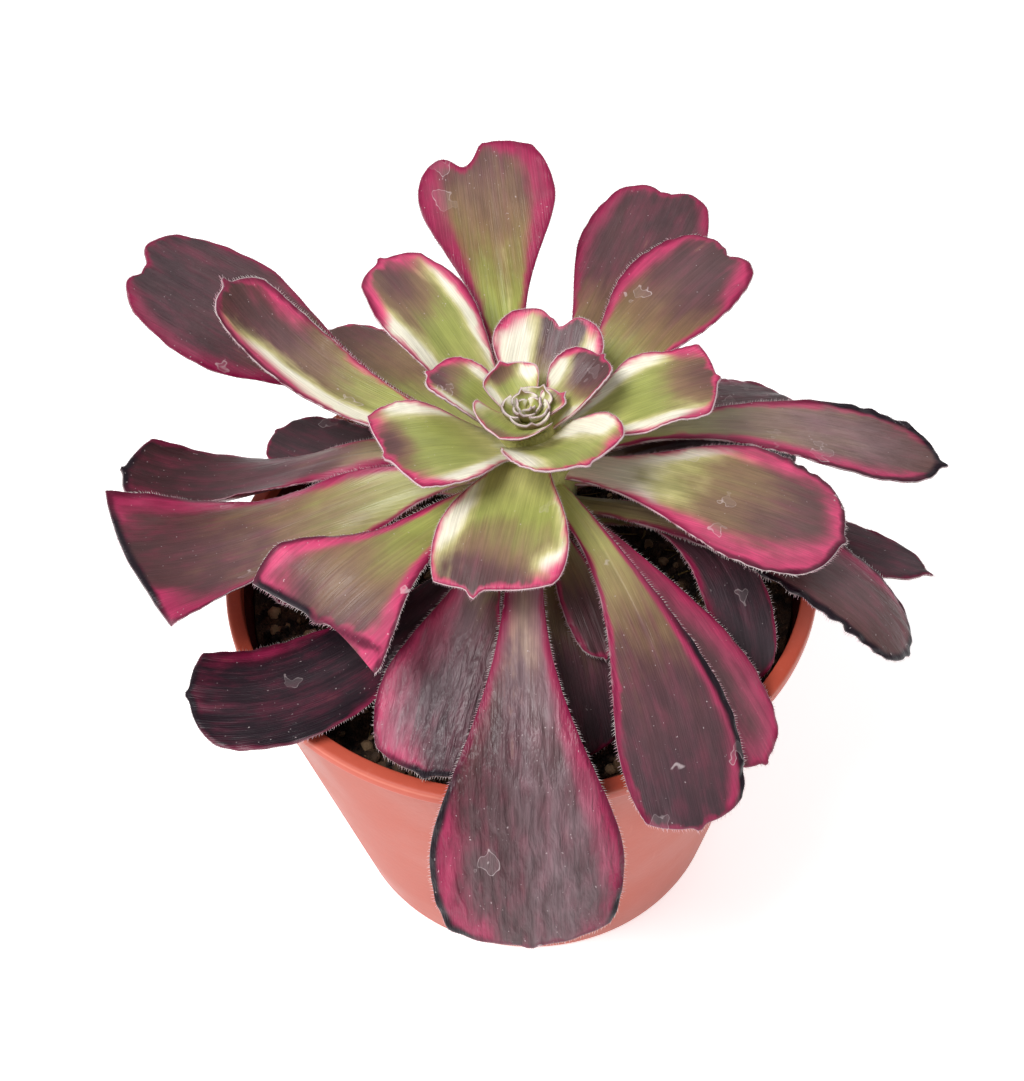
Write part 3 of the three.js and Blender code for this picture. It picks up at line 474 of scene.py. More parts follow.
def turned(profile, columns, centre=(0, 0)):
    """Rings of points: each (radius, height) of the profile carried round an upright axis."""
    radius, height = np.array(profile, float).T
    angle = round_steps(columns)
    x = centre[0] + radius[:, None] * np.cos(angle)
    y = centre[1] + radius[:, None] * np.sin(angle)
    return np.stack([x, y, np.broadcast_to(height[:, None], x.shape)], -1)


def divided(profile, step):
    """The profile's corner points with more points between them, at most a step apart."""
    profile = np.array(profile, float)
    spans = np.linalg.norm(np.diff(profile, axis=0), axis=1)
    counts = np.maximum(np.ceil(spans / step), 1).astype(int)
    shares = np.concatenate([i + np.arange(n) / n for i, n in enumerate(counts)] + [[len(counts)]])
    index = np.arange(len(profile))
    return np.stack([np.interp(shares, index, profile[:, k]) for k in range(2)], 1)


def merge(parts):
    """Several parts as one, their faces numbered on from part to part."""
    points, faces, attributes, index = zip(*parts)
    starts = np.cumsum([0, *(len(each) for each in points)])
    faces = [np.where(each < 0, each, each + start) for each, start in zip(faces, starts)]
    attributes = {name: np.concatenate([each[name] for each in attributes]) for name in attributes[0]}
    return np.concatenate(points), np.concatenate(faces), attributes, np.concatenate(index)


def add_object(name, data):
    """A new object with that data, in the scene."""
    thing = bpy.data.objects.new(name, data)
    bpy.context.scene.collection.objects.link(thing)
    return thing


def make_piece(name, part, *materials):
    """A mesh object from a part, in metres."""
    points, faces = part[:2]
    attributes = part[2] if len(part) > 2 else {}
    material_index = part[3] if len(part) > 3 else 0
    corner = faces.ravel()
    counts = (faces >= 0).sum(1)
    mesh = bpy.data.meshes.new(name)
    mesh.vertices.add(len(points))
    mesh.vertices.foreach_set("co", (points * MM).astype(np.float32).ravel())
    mesh.loops.add(int(counts.sum()))
    mesh.loops.foreach_set("vertex_index", corner[corner >= 0].astype(np.int32))
    mesh.polygons.add(len(faces))
    mesh.polygons.foreach_set("loop_start", (np.cumsum(counts) - counts).astype(np.int32))
    mesh.update(calc_edges=True)
    for attribute, values in attributes.items():
        layer = mesh.attributes.new(attribute, "FLOAT_VECTOR", "POINT")
        layer.data.foreach_set("vector", np.asarray(values, np.float32).ravel())
    for material in materials:
        mesh.materials.append(material)
    mesh.polygons.foreach_set("material_index", np.full(len(faces), material_index, np.int32))
    mesh.polygons.foreach_set("use_smooth", np.ones(len(faces), bool))
    mesh.update()
    if mesh.validate():
        raise RuntimeError(f"{name} has faulty faces")
    return add_object(name, mesh)


def dress(piece, node):
    """The piece moves with the object and stands for its solid, which is hidden."""
    low, high = corners(node)
    points = np.array([corner[:] for corner in piece.bound_box]) / MM
    stray = max(np.abs(points.min(0) - low).max(), np.abs(points.max(0) - high).max())
    if stray > SHAPE_TOLERANCE:
        raise RuntimeError(f"{piece.name} departs {stray:.1f} mm from its solid")
    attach(piece, "root")
    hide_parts(node)


# ---- Leaf shape -----------------------------------------------------------------------------


def stem_radius(height):
    """Radius of the stem and the core at a height, on straight lines between their profile's points."""
    profile = np.array((*STEM["profile"], (CORE["foot"], CORE["foot_radius"]),
                        (CORE["top"], CORE["top_radius"])))
    return np.interp(height, profile[:, 0], profile[:, 1])


def from_stem(reach, azimuth, height):
    """The point at that reach from the stem's axis, in the azimuth's direction, and that height."""
    return heading(0, azimuth) * reach + np.array([STEM_X, STEM_Y, height])


def run_along(points):
    """Length of the line through the points, up to each of them."""
    return np.concatenate([[0], np.cumsum(np.linalg.norm(np.diff(points, axis=0), axis=1))])


def midrib(leaf):
    """A cubic curve that leaves the stem straight outwards and turns towards the leaf's tip.

    Returns its points, its unit tangents, the length up to each point and its last azimuth.
    """
    base_azimuth, base_height = leaf["base"]
    reach, tip_azimuth, tip_height = leaf["tip"]
    inside = max(stem_radius(base_height) - leaf["sink"], NEAREST_AXIS)
    start = from_stem(inside, base_azimuth, base_height)
    end = from_stem(reach, tip_azimuth, tip_height)
    chord = end - start
    chord_azimuth = math.degrees(math.atan2(chord[1], chord[0]))
    end_azimuth = chord_azimuth - wrap(base_azimuth - chord_azimuth) + leaf["bend"]
    handle = leaf["handle"] * np.linalg.norm(chord)
    p1 = start + handle * heading(leaf["pitch"][0], base_azimuth)
    p2 = end - handle * heading(leaf["pitch"][1], end_azimuth)
    t = np.linspace(0, 1, RIB_POINTS)[:, None]
    curve = (1 - t)**3 * start + 3 * (1 - t)**2 * t * p1 + 3 * (1 - t) * t * t * p2 + t**3 * end
    length = run_along(curve)
    return curve, unit(np.gradient(curve, length, axis=0)), length, end_azimuth


def outline(leaf, length, u, v):
    """Where a grid point lies in the leaf's flat outline.

    The outline widens smoothly up to its widest place and closes in a squared ellipse beyond it,
    which may have a notch and a small point, each shaped as a bell curve across the end. Returns
    the share of the length and the share of the half width.
    """
    wide, power = leaf["wide"], leaf["blunt"] / 2
    low = leaf["neck"] + (1 - leaf["neck"]) * smooth((np.minimum(u, wide) / wide) ** leaf["taper"])
    end = np.clip((u - wide) / (1 - wide), 0, 1)
    notch = leaf["notch"] * np.exp(-(((v - leaf["notch_at"]) / NOTCH_WIDTH) ** 2)) * end**3
    point = leaf["point"] * np.exp(-(((v - leaf["point_at"]) / POINT_WIDTH) ** 2)) * end**8
    closing = end * (1 - v * v / 2) ** power + leaf["skew"] * v * end * end
    along = np.minimum(u, wide) + (1 - wide) * closing + (point - notch) / length
    return along, v * np.where(u <= wide, low, (1 - end * end / 2) ** power)


def patches(spots, u, v):
    """How strongly a leaf's patches colour it: the sum of their bell-shaped spots, at most 1."""
    total = np.zeros(np.shape(u))
    for place_u, place_v, reach_u, reach_v, strength in spots:
        total += strength * np.exp(-(((u - place_u) / reach_u) ** 2) - ((v - place_v) / reach_v) ** 2)
    return np.minimum(total, 1)


def crinkles(waves, leaf, u, v):
    """The sum of the sine waves, at u and v on the leaf."""
    side, seed = np.sign(v), leaf["seed"]
    return sum(height * np.sin(per_u * u + per_v * v + per_seed * seed + per_side * side)
               for height, per_u, per_v, per_seed, per_side in waves)


def blade_at(leaf, rib, u, v):
    """The leaf's middle surface at u and v: points, unit normals and thickness.

    Each cross-section is a circular arc that stands square to the midrib and is turned about it.
    Waves, which grow towards the edges, small crinkles at the end and at dried edges, and the curl
    of the end lift it along its normal. It thins along its length, and towards its edges with the
    square of v.
    """
    curve, tangents, lengths, end_azimuth = rib
    total = lengths[-1]
    along, across = outline(leaf, total, u, v)
    at = np.clip(along, 0, 1) * total
    point = np.stack([np.interp(at, lengths, curve[:, k]) for k in range(3)], -1)
    tangent = unit(np.stack([np.interp(at, lengths, tangents[:, k]) for k in range(3)], -1))
    point = point + tangent * (np.maximum(along - 1, 0) * total)[..., None]
    azimuth = leaf["base"][0] + wrap(end_azimuth - leaf["base"][0]) * u
    level = heading(0, azimuth + 90)
    level = unit(level - (level * tangent).sum(-1, keepdims=True) * tangent)
    upright = np.cross(tangent, level)
    roll = np.radians(blend(*leaf["roll"], smooth(u)))[..., None]
    side = level * np.cos(roll) + upright * np.sin(roll)
    rising = upright * np.cos(roll) - level * np.sin(roll)
    half = leaf["width"] / 2
    cup = np.radians(blend(*leaf["cup"], smooth(CUP_GROWTH * u)))
    cup = np.where(np.abs(cup) < FLATTEST, FLATTEST, cup)
    turn = cup * across
    outwards = np.abs(v)
    height, waves, phase = leaf["wave"]
    ripple = np.sin(2 * np.pi * waves * u + np.radians(phase) + WAVE_LEAD * np.sign(v))
    lift = half * (1 - np.cos(turn)) / cup
    lift = lift + height * ripple * outwards**WAVE_POWER * smooth(WAVE_GROWTH * u)
    lift = lift - leaf["curl"] * np.maximum((along - CURL_START) / (1 - CURL_START), 0) ** 2
    crisp = leaf["crisp"] * crinkles(SIDE_CRINKLES, leaf, u, v) * outwards**6
    lift = lift + crisp * smooth((u - CRISP_START) / CRISP_RUN)
    shrivelled = DRY_CRINKLE * patches(leaf["dry"], u, v) * crinkles(DRY_CRINKLES, leaf, u, v)
    lift = lift + shrivelled * outwards**4
    end = smooth((u - END_START) / END_RUN)
    lift = lift + leaf["crisp"] * crinkles(END_CRINKLES, leaf, u, v) * end
    point = point + side * (half * np.sin(turn) / cup)[..., None] + rising * lift[..., None]
    normal = rising * np.cos(turn)[..., None] - side * np.sin(turn)[..., None]
    thickness = blend(leaf["thick"] * (1 - THINNING * u), leaf["edge"], v * v)
    return point, normal, thickness


def margin(leaf, rib, samples):
    """Places u and v along the leaf's edge, up its right side, across its end and back down."""
    side = np.linspace(0, 1, samples, endpoint=False)
    end = np.linspace(-1, 1, samples)
    u = np.concatenate([side, np.ones(samples), side[::-1]])
    v = np.concatenate([-np.ones(samples), end, np.ones(samples)])
    return u, v, blade_at(leaf, rib, u, v)[0]


def blade(leaf, rib, rows, columns):
    """A closed blade: both faces of the leaf, half the thickness from its middle, and its rim.

    The grid is finer near the tip and the edges, where the thickness is rounded off as a quarter
    circle. A groove shaped as a bell curve runs over the midrib. Returns the grid's u and v, its
    middle points, and the blade's points and faces.
    """
    u = 1 - (1 - np.linspace(0, 1, rows)) ** 1.4
    v = np.sin(np.linspace(-np.pi / 2, np.pi / 2, columns))
    u, v = np.meshgrid(u, v, indexing="ij")
    point, normal, thickness = blade_at(leaf, rib, u, v)
    near_edge = np.clip(np.minimum((1 - np.abs(v)) / ROUND_EDGE, (1 - u) / ROUND_TIP), 0, 1)
    rounding = THIN_EDGE + (1 - THIN_EDGE) * np.sqrt(1 - (1 - near_edge) ** 2)
    ends = smooth(u * 4) * smooth((1 - u) * 3)
    channel = CHANNEL_DEPTH * np.exp(-((v / CHANNEL_WIDTH) ** 2)) * ends
    half = (thickness * rounding / 2)[..., None] * normal
    layer = rows * columns
    upper = (point + half - channel[..., None] * normal).reshape(-1, 3)
    lower = (point - half).reshape(-1, 3)
    faces = sheet_faces(rows, columns)
    index = np.arange(layer).reshape(rows, columns)
    rim = np.concatenate([index[:-1, 0], index[-1, :-1], index[:0:-1, -1], index[0, :0:-1]])
    following = np.roll(rim, -1)
    edge = np.stack([rim, rim + layer, following + layer, following], 1)
    faces = np.concatenate([faces, faces[:, ::-1] + layer, edge])
    return u.ravel(), v.ravel(), point.reshape(-1, 3), np.concatenate([upper, lower]), faces


def bristles(leaf, rib, settings, random):
    """Stiff hairs along the leaf's edge, each a slim three-sided cone that leans to the tip.

    A hair stands at each step along the edge, moved a little at random. It points outwards, with
    some of the direction to the tip added on the sides, and some of a random direction.
    """
    width = max(leaf["hair"], LEAST_HAIR_WIDTH)
    spacing = settings.hair_spacing / MM * width
    radius = settings.hair_thickness / MM / 2 * width
    u, v, points = margin(leaf, rib, 160)
    run = run_along(points)
    count = int(run[-1] / spacing)
    place = (np.arange(count) + random.uniform(-HAIR_JITTER, HAIR_JITTER, count)).clip(0) * spacing
    u, v = np.interp(place, run, u), np.interp(place, run, v)
    keep = (u > leaf["hair_start"]) & (random.random(count) > HAIRLESS)
    u, v = u[keep], v[keep]
    root, normal, _ = blade_at(leaf, rib, u, v)
    # Places a little inwards and a little nearer the base give the directions out and to the tip.
    inner = blade_at(leaf, rib, u - 0.04 * smooth((u - 0.9) / 0.1), v * 0.95)[0]
    before = blade_at(leaf, rib, np.maximum(u - 0.03, 0), v)[0]
    count = len(u)
    outward = unit(root - inner)
    lean = HAIR_LEAN * unit(root - before) * (np.abs(v) > 0.98)[:, None]
    aim = unit(outward + lean + random.normal(0, HAIR_SPREAD, (count, 3)))
    across = unit(np.cross(aim, normal))
    usual = settings.hair_length / MM * leaf["hair"]
    height = usual * random.uniform(*HAIR_LENGTHS, count)[:, None]
    angle = round_steps(3)[None, :, None]
    ring = (np.cos(angle) * across[:, None] + np.sin(angle) * np.cross(aim, across)[:, None]) * radius
    foot = (root - HAIR_ROOT * outward)[:, None] + ring
    tip = (root + aim * height)[:, None]
    points = np.concatenate([foot, tip], 1).reshape(-1, 3)
    cone = np.array([[0, 1, 3], [1, 2, 3], [2, 0, 3], [2, 1, 0]])
    return points, triangles((4 * np.arange(count)[:, None, None] + cone).reshape(-1, 3))


def edge_gaps(leaf, rib, middle):
    """Distance of each middle point from the leaf's edge, worked out in blocks of edge points."""
    u, _, edge = margin(leaf, rib, 200)
    edge = edge[u > BASE_EDGE]
    gaps = np.full(len(middle), np.inf)
    size = 50
    for start in range(0, len(edge), size):
        block = np.linalg.norm(middle[:, None] - edge[None, start:start + size], axis=-1)
        gaps = np.minimum(gaps, block.min(1))
    return gaps


def leaf_part(row, seed, settings):
    """One leaf as a part: its blade, and its hairs in the second material.

    Its attributes are blade (u, v and the distance from the edge), place (along and across, in
    millimetres, and a number of its own), tone and mood from its row, patches (cream, pink and
    shade) and state (1 on the upper face, dry, and wax: a veil of waxy coat and painted sheen).
    Hairs have zeros.
    """
    leaf = {**LEAF, **row, "seed": seed % 17 + 0.37 * seed}
    rib = midrib(leaf)
    rows, columns = leaf["grid"] or (settings.rows_along, settings.rows_across)
    u, v, middle, points, faces = blade(leaf, rib, rows, columns)
    total = rib[2][-1]
    along, across = outline(leaf, total, u, v)
    same = np.ones(len(u))
    spots = {kind: patches(leaf[kind], u, v) for kind in ("cream", "pink", "shade", "dry", "wax")}
    values_of = {
        "blade": (u, v, edge_gaps(leaf, rib, middle)),
        "place": (along * total, across * leaf["width"] / 2, same * seed * PATTERN_SHIFT),
        "tone": [same * value for value in leaf["tone"]],
        "mood": [same * value for value in leaf["mood"]],
        "patches": (spots["cream"], spots["pink"], spots["shade"]),
        "state": (same, spots["dry"], spots["wax"]),
    }
    attributes = {name: np.tile(np.stack(values, 1), (2, 1)) for name, values in values_of.items()}
    attributes["state"][len(u):, 0] = 0
    random = np.random.default_rng(HAIR_SEED + seed)
    hair_points, hair_faces = bristles(leaf, rib, settings, random)
    bare = {name: np.zeros((len(hair_points), 3)) for name in attributes}
    return merge([(points, faces, attributes, np.zeros(len(faces), int)),
                  (hair_points, hair_faces, bare, np.ones(len(hair_faces), int))])


# ---- Materials ------------------------------------------------------------------------------

COLOR, VALUE, VECTOR = "NodeSocketColor", "NodeSocketFloat", "NodeSocketVector"
PAINTS = ("pale", "green", "olive", "purple", "dark", "crimson", "pink", "cream", "rim", "bloom",
          "under")


def tint(*screen):
    """A colour from its 0-255 screen values, as the linear values that shaders take."""
    share = np.array(screen) / 255
    linear = np.where(share <= 0.04045, share / 12.92, ((share + 0.055) / 1.055) ** 2.4)
    return tuple(linear.tolist())


class Value:
    """What a node puts out. Its sums and products with others add the nodes that work them out."""

    def __init__(self, recipe, socket):
        self.recipe, self.socket = recipe, socket

    def __add__(self, other):
        return self.recipe.math("ADD", self, other)

    def __sub__(self, other):
        return self.recipe.math("SUBTRACT", self, other)

    def __mul__(self, other):
        return self.recipe.math("MULTIPLY", self, other)

    def __truediv__(self, other):
        return self.recipe.math("DIVIDE", self, other)


class Recipe:
    """Adds nodes to a tree. What another node puts out is linked, any other value is set."""

    def __init__(self, tree):
        self.tree = tree

    def give(self, socket, value):
        """Links or sets a socket. A colour of three values is made opaque."""
        if isinstance(value, Value):
            self.tree.links.new(value.socket, socket)
        elif value is not None:
            opaque = socket.type == "RGBA" and len(value) == 3
            socket.default_value = (*value, 1.0) if opaque else value

    def outputs(self, kind, inputs=(), **settings):
        """What a new node puts out, in order."""
        node = self.tree.nodes.new(kind)
        for name, value in settings.items():
            setattr(node, name, value)
        for key, value in dict(inputs).items():
            self.give(node.inputs[key], value)
        return [Value(self, socket) for socket in node.outputs]

    def named_outputs(self, kind, inputs=(), **settings):
        """The same, by the outputs' names."""
        return {value.socket.name: value for value in self.outputs(kind, inputs, **settings)}

    def math(self, operation, first, second=None, clamp=False):
        values = {0: first, 1: second}
        return self.outputs("ShaderNodeMath", values, operation=operation, use_clamp=clamp)[0]

    def larger(self, first, second):
        """The larger of two values."""
        return self.math("MAXIMUM", first, second)

    def rise(self, value, low, high, start=0.0, end=1.0):
        """Smoothly from start to end while the value goes from low to high."""
        values = {"Value": value, "From Min": low, "From Max": high, "To Min": start, "To Max": end}
        return self.outputs("ShaderNodeMapRange", values, interpolation_type="SMOOTHSTEP")[0]

    def mix(self, share, first, second, how="MIX"):
        """The first colour with a share of the second."""
        values = {0: share, 6: first, 7: second}
        return self.outputs("ShaderNodeMix", values, data_type="RGBA", blend_type=how)[2]

    def shaded(self, colour, shade):
        """The colour made lighter or darker by a factor."""
        grey = self.outputs("ShaderNodeCombineColor", {i: shade for i in range(3)})[0]
        return self.mix(1.0, colour, grey, "MULTIPLY")

    def scaled(self, vector, x, y, z=1.0):
        """The vector with each of its values multiplied by its own factor."""
        return self.outputs("ShaderNodeVectorMath", {0: vector, 1: (x, y, z)}, operation="MULTIPLY")[0]

    def noise(self, vector, scale=1.0, detail=2.0, roughness=0.5, distortion=0.0, output="Fac"):
        """Soft noise about 0.5, or with the output Color, three of them."""
        values = {"Vector": vector, "Scale": scale, "Detail": detail, "Roughness": roughness,
                  "Distortion": distortion}
        return self.named_outputs("ShaderNodeTexNoise", values)[output]

    def split(self, vector):
        """The vector's three values."""
        return self.outputs("ShaderNodeSeparateXYZ", {0: vector})

    def attribute(self, name):
        """A point attribute of the piece, as a vector."""
        settings = {"attribute_type": "GEOMETRY", "attribute_name": name}
        return self.named_outputs("ShaderNodeAttribute", **settings)["Vector"]

    def in_millimetres(self):
        """The place on the piece, which is the place in the frame."""
        return self.scaled(self.named_outputs("ShaderNodeTexCoord")["Object"], *[1 / MM] * 3)

    def group(self, build, values):
        """The outputs of the shader group that build makes the first time that it is used."""
        name = build.__name__.replace("_", " ").title()
        if name not in bpy.data.node_groups:
            build(name)
        return self.named_outputs("ShaderNodeGroup", values, node_tree=bpy.data.node_groups[name])


class GroupRecipe(Recipe):
    """A new shader group with its named sockets, given as name and kind."""

    def __init__(self, name, inputs, outputs):
        super().__init__(bpy.data.node_groups.new(name, "ShaderNodeTree"))
        for direction, sockets in (("INPUT", inputs), ("OUTPUT", outputs)):
            for title, kind in sockets.items():
                self.tree.interface.new_socket(title, in_out=direction, socket_type=kind)
        self.given = self.named_outputs("NodeGroupInput")
        self.result = self.tree.nodes.new("NodeGroupOutput")

    def put_out(self, **values):
        """Links what the group puts out."""
        for title, value in values.items():
            self.give(self.result.inputs[title], value)


class Finish(Recipe):
    """A new material with a Principled shader."""

    def __init__(self, name):
        self.material = bpy.data.materials.new(name)
        self.material.use_nodes = True
        super().__init__(self.material.node_tree)
        self.shader = self.tree.nodes["Principled BSDF"]

    def mottle(self, patch_size, grain_size, contrast):
        """Prepares patches and grain of those sizes in millimetres."""
        self.place = self.in_millimetres()
        self.tones = self.group(mottling, {"Vector": self.place, "Patch Size": patch_size,
                                           "Grain Size": grain_size, "Contrast": contrast})

    def patched(self, first, second):
        """The first colour with broad patches of the second."""
        return self.mix(self.rise(self.tones["Patches"], 0.35, 0.65), first, second)

    def surface(self, colour, roughness, height, depth):
        """Sets the shader's colour and roughness, and a bump of that depth in millimetres."""
        values = {"Height": height, "Strength": 1.0, "Distance": depth * MM}
        bump = self.outputs("ShaderNodeBump", values)[0]
        self.set_shader({"Normal": bump, "Base Color": colour, "Roughness": roughness})
        return self.material

    def mottled(self, colour, roughness, depth):
        """A surface in that colour, mottled and grained."""
        return self.surface(self.shaded(colour, self.tones["Shade"]), roughness, self.tones["Height"],
                            depth)

    def set_shader(self, values):
        """Links or sets sockets of the shader itself."""
        for title, value in values.items():
            self.give(self.shader.inputs[title], value)


def leaf_paint(name):
    """Colours of a variegated leaf, from the place on its blade.

    The middle goes from green through olive to purple and near-black towards the tip, in streaks
    along the veins. Over it lie cream and pink patches, then a pink band and a crimson line along
    the edge, dried black places and a pale rim. The folds of puckered leaves get painted shade and
    highlight, and a veil of waxy coat and painted sheen that is lighter on their crests. Thin rings
    of dried water lie on top.
    """
    recipe = GroupRecipe(name, {paint.title(): COLOR for paint in PAINTS},
                         {"Color": COLOR, "Roughness": VALUE, "Height": VALUE})
    rise, mix, noise, scaled = recipe.rise, recipe.mix, recipe.noise, recipe.scaled
    given, larger = recipe.given, recipe.larger
    along, _, gap = recipe.split(recipe.attribute("blade"))
    place = recipe.attribute("place")
    green_end, margin_width, bright = recipe.split(recipe.attribute("tone"))
    dusk, dried, puckered = recipe.split(recipe.attribute("mood"))
    cream, pink, shade = recipe.split(recipe.attribute("patches"))
    upper, dry, waxy = recipe.split(recipe.attribute("state"))

    # Patterns drawn out along the leaf, with their scales along it and across it per millimetre.
    streak = noise(scaled(place, 0.035, 0.6), detail=4.0)
    vein = noise(scaled(place, 0.1, 3.2))
    cloud = noise(scaled(place, 0.09, 0.14), detail=3.0)
    blotch = noise(scaled(place, 0.16, 0.34, 3.1), detail=4.0)
    pucker = noise(scaled(place, 0.14, 0.45, 4.1), detail=3.5, roughness=0.55, distortion=0.35)
    wander = streak * 0.55 + (cloud * 0.95 - 0.75)
    feather = blotch * 0.8 + (streak * 0.5 - 0.65)

    # The middle, by how far it is past the green part's end.
    past = along + shade - green_end + wander * 0.45
    colour = mix(rise(past, -0.3, 0.08), given["Green"], given["Olive"])
    colour = mix(rise(along, 0.05, 0.58, 0.9, 0.0) * bright, colour, given["Pale"])
    colour = mix(rise(past, -0.02, 0.38) * (dusk * 0.4 + 0.6), colour, given["Purple"])
    colour = mix(rise(past, 0.1, 0.7) * dusk, colour, given["Dark"])
    wine = rise(past, 0.0, 0.4) * rise(feather, -0.1, 0.35, 0.0, 0.4)
    colour = mix(wine, colour, given["Crimson"])

    # Cream and pink patches with feathered ends.
    drift = feather * 0.55 + cream
    colour = mix(rise(drift, 0.08, 0.45, 0.0, 0.85), colour, given["Pale"])
    colour = mix(rise(drift, 0.3, 0.68), colour, given["Cream"])
    blush = bright * (bright * 0.5 + 0.4) * rise(blotch, 0.3, 0.7, 0.6, 1.0)
    red = mix(blush, given["Crimson"], given["Pink"])
    inward = recipe.math("POWER", 0.82, gap) * 1.3
    drift = feather * 0.35 + pink * inward
    colour = mix(rise(drift, 0.08, 0.75, 0.0, 0.95), colour, red)

    # Painted shade and highlight on the folds of puckered leaves, and a veil of waxy coat and
    # painted sheen that is lighter on their crests.
    puckered = puckered * rise(along, 0.3, 0.6)
    colour = recipe.shaded(colour, rise(pucker, 0.3, 0.7, -0.13, 0.13) * puckered + 1.0)
    crest_sheen = rise(pucker, 0.3, 0.75, -0.6, 0.0) * puckered + 1.0
    colour = mix(crest_sheen * waxy * 0.42, colour, given["Bloom"])

    # The pink band and the crimson line, by the distance from the edge in widths of the margin.
    uneven = rise(blotch, 0.3, 0.7, 0.5, 1.4)
    width = margin_width * (uneven * rise(along, 0.0, 0.6, 0.45, 1.0)) * (pink + 1.0)
    depth = (vein * 0.3 + gap) / larger(width, 0.05)
    colour = mix(rise(depth, 0.3, 1.5, 0.85, 0.0), colour, red)
    colour = mix(rise(depth, 0.1, 0.7, 0.95, 0.0), colour, given["Crimson"])
    lined = blotch * 0.3 + (vein * 0.45 + streak * 0.25)
    colour = recipe.shaded(colour, rise(lined, 0.34, 0.66, 0.84, 1.14))

    # Dried black edges and the pale rim.
    reach = blotch * 2.6 + (dry * 1.2 + 0.2)
    ends = larger(rise(along, 0.45, 0.8) * dried, recipe.math("MULTIPLY", dry, 1.5, clamp=True))
    colour = mix(ends * rise(gap, reach * 0.35, reach, 1.0, 0.0), colour, given["Dark"])
    colour = mix(rise(gap, 0.03, 0.16, 0.7, 0.0) * bright, colour, given["Rim"])

    # Rings of dried water round a few of the cells of a bent pattern, and specks.
    bend = scaled(noise(scaled(place, 0.35, 0.4), detail=1.0, output="Color"), 0.8, 0.8, 0.0)
    bent = recipe.outputs("ShaderNodeVectorMath", {0: scaled(place, 0.1, 0.12), 1: bend})[0]
    cells = recipe.named_outputs("ShaderNodeTexVoronoi", {"Vector": bent, "Scale": 1.0})
    chosen = recipe.math("GREATER_THAN", recipe.split(cells["Color"])[0], 0.72)
    away = cells["Distance"]
    ring = rise(recipe.math("ABSOLUTE", away - 0.22), 0.0, 0.022, 1.0, 0.0)
    ring = ring * rise(cloud, 0.4, 0.6, 0.1, 0.45)
    ring = chosen * larger(rise(away, 0.2, 0.22, 0.05, 0.0), ring)
    speck = rise(noise(scaled(place, 1.5, 1.5, 5.0), detail=1.0), 0.75, 0.8, 0.0, 0.4)
    deposit = larger(ring, speck) * upper
    colour = mix(deposit, colour, given["Rim"])
    colour = mix(upper * -0.55 + 0.55, colour, given["Under"])

    height = pucker * puckered * 1.5 + vein * 0.12 + cloud * 0.3 + deposit * 0.06
    roughness = rise(streak, 0.3, 0.7, 0.3, 0.44) + deposit * 0.3
    recipe.put_out(Color=colour, Roughness=roughness, Height=height)


def mottling(name):
    """Broad soft patches and fine grain: a factor for the colour, the patches and a height."""
    inputs = {"Vector": VECTOR, "Patch Size": VALUE, "Grain Size": VALUE, "Contrast": VALUE}
    recipe = GroupRecipe(name, inputs, {"Shade": VALUE, "Patches": VALUE, "Height": VALUE})
    given = recipe.given
    broad = recipe.noise(given["Vector"], recipe.math("DIVIDE", 1.0, given["Patch Size"]), 3.0)
    grain = recipe.noise(given["Vector"], recipe.math("DIVIDE", 1.0, given["Grain Size"]), 3.0)
    both = grain * 0.4 + (broad * 0.6 - 0.5)
    recipe.put_out(Shade=both * (given["Contrast"] * 4.0) + 1.0, Patches=broad, Height=grain)


def leaf_material(settings):
    """The leaf's paint with its shine."""
    finish = Finish("aeonium_leaf")
    paint = finish.group(leaf_paint, {title.title(): getattr(settings, title) for title in PAINTS})
    finish.set_shader({"Specular IOR Level": settings.shine})
    return finish.surface(paint["Color"], paint["Roughness"], paint["Height"], 0.9)


def hair_material(settings):
    """Pale hairs, pinker in patches."""
    finish = Finish("leaf_hair")
    finish.mottle(8.0, 0.8, 0.2)
    return finish.mottled(finish.patched(settings.hair, settings.hair_tint), 0.45, 0.02)


def pot_material(settings):
    """Moulded plastic: an inside darkened as painted shade, darker at its foot, a stronger red lip
    whose pale outer edge is a painted highlight and partly wear, and scuffs.
    """
    finish = Finish("pot_plastic")
    finish.mottle(26.0, 1.4, 0.05)
    mix, rise = finish.mix, finish.rise
    x, y, z = finish.split(finish.place)
    radius = finish.math("SQRT", x * x + y * y)
    wall_middle = z * WALL_SLOPE + (POT["base_radius"] - POT["wall"] / 2)
    # The inner face is darker: painted shade.
    colour = mix(rise(radius - wall_middle, -0.3, 0.3), settings.inside, settings.body)
    colour = mix(rise(z, 0.0, 60.0, 0.25, 0.0), colour, settings.foot)
    colour = mix(rise(z, UNDER_LIP - 0.6, UNDER_LIP), colour, settings.lip)
    # Pale line round the lip's upper outer edge: a painted highlight, partly wear.
    from_top = finish.math("ABSOLUTE", z - (POT["height"] - 0.5))
    outermost = rise(radius, POT["rim_radius"] - 1.0, POT["rim_radius"] - 0.3)
    colour = mix(rise(from_top, 0.0, 0.5, 0.35, 0.0) * outermost, colour, settings.edge)
    scuffs = finish.noise(finish.scaled(finish.place, 0.5, 0.5, 0.08), 1.0, 4.0)
    colour = mix(rise(scuffs, 0.62, 0.72, 0.0, 0.05), colour, settings.edge)
    finish.set_shader({"Specular IOR Level": settings.shine})
    return finish.mottled(colour, rise(finish.tones["Patches"], 0.3, 0.7, 0.36, 0.48), 0.05)


def soil_material(settings):
    """Damp dark earth: brown and black in small patches, with rough grain and pale grit."""
    finish = Finish("soil_earth")
    finish.mottle(3.0, 0.6, 0.35)
    speck = finish.rise(finish.noise(finish.place, 1.3, 2.0), 0.68, 0.74)
    colour = finish.mix(speck * 0.5, finish.patched(settings.dark, settings.brown), settings.grit)
    return finish.mottled(colour, 0.85, 0.5)


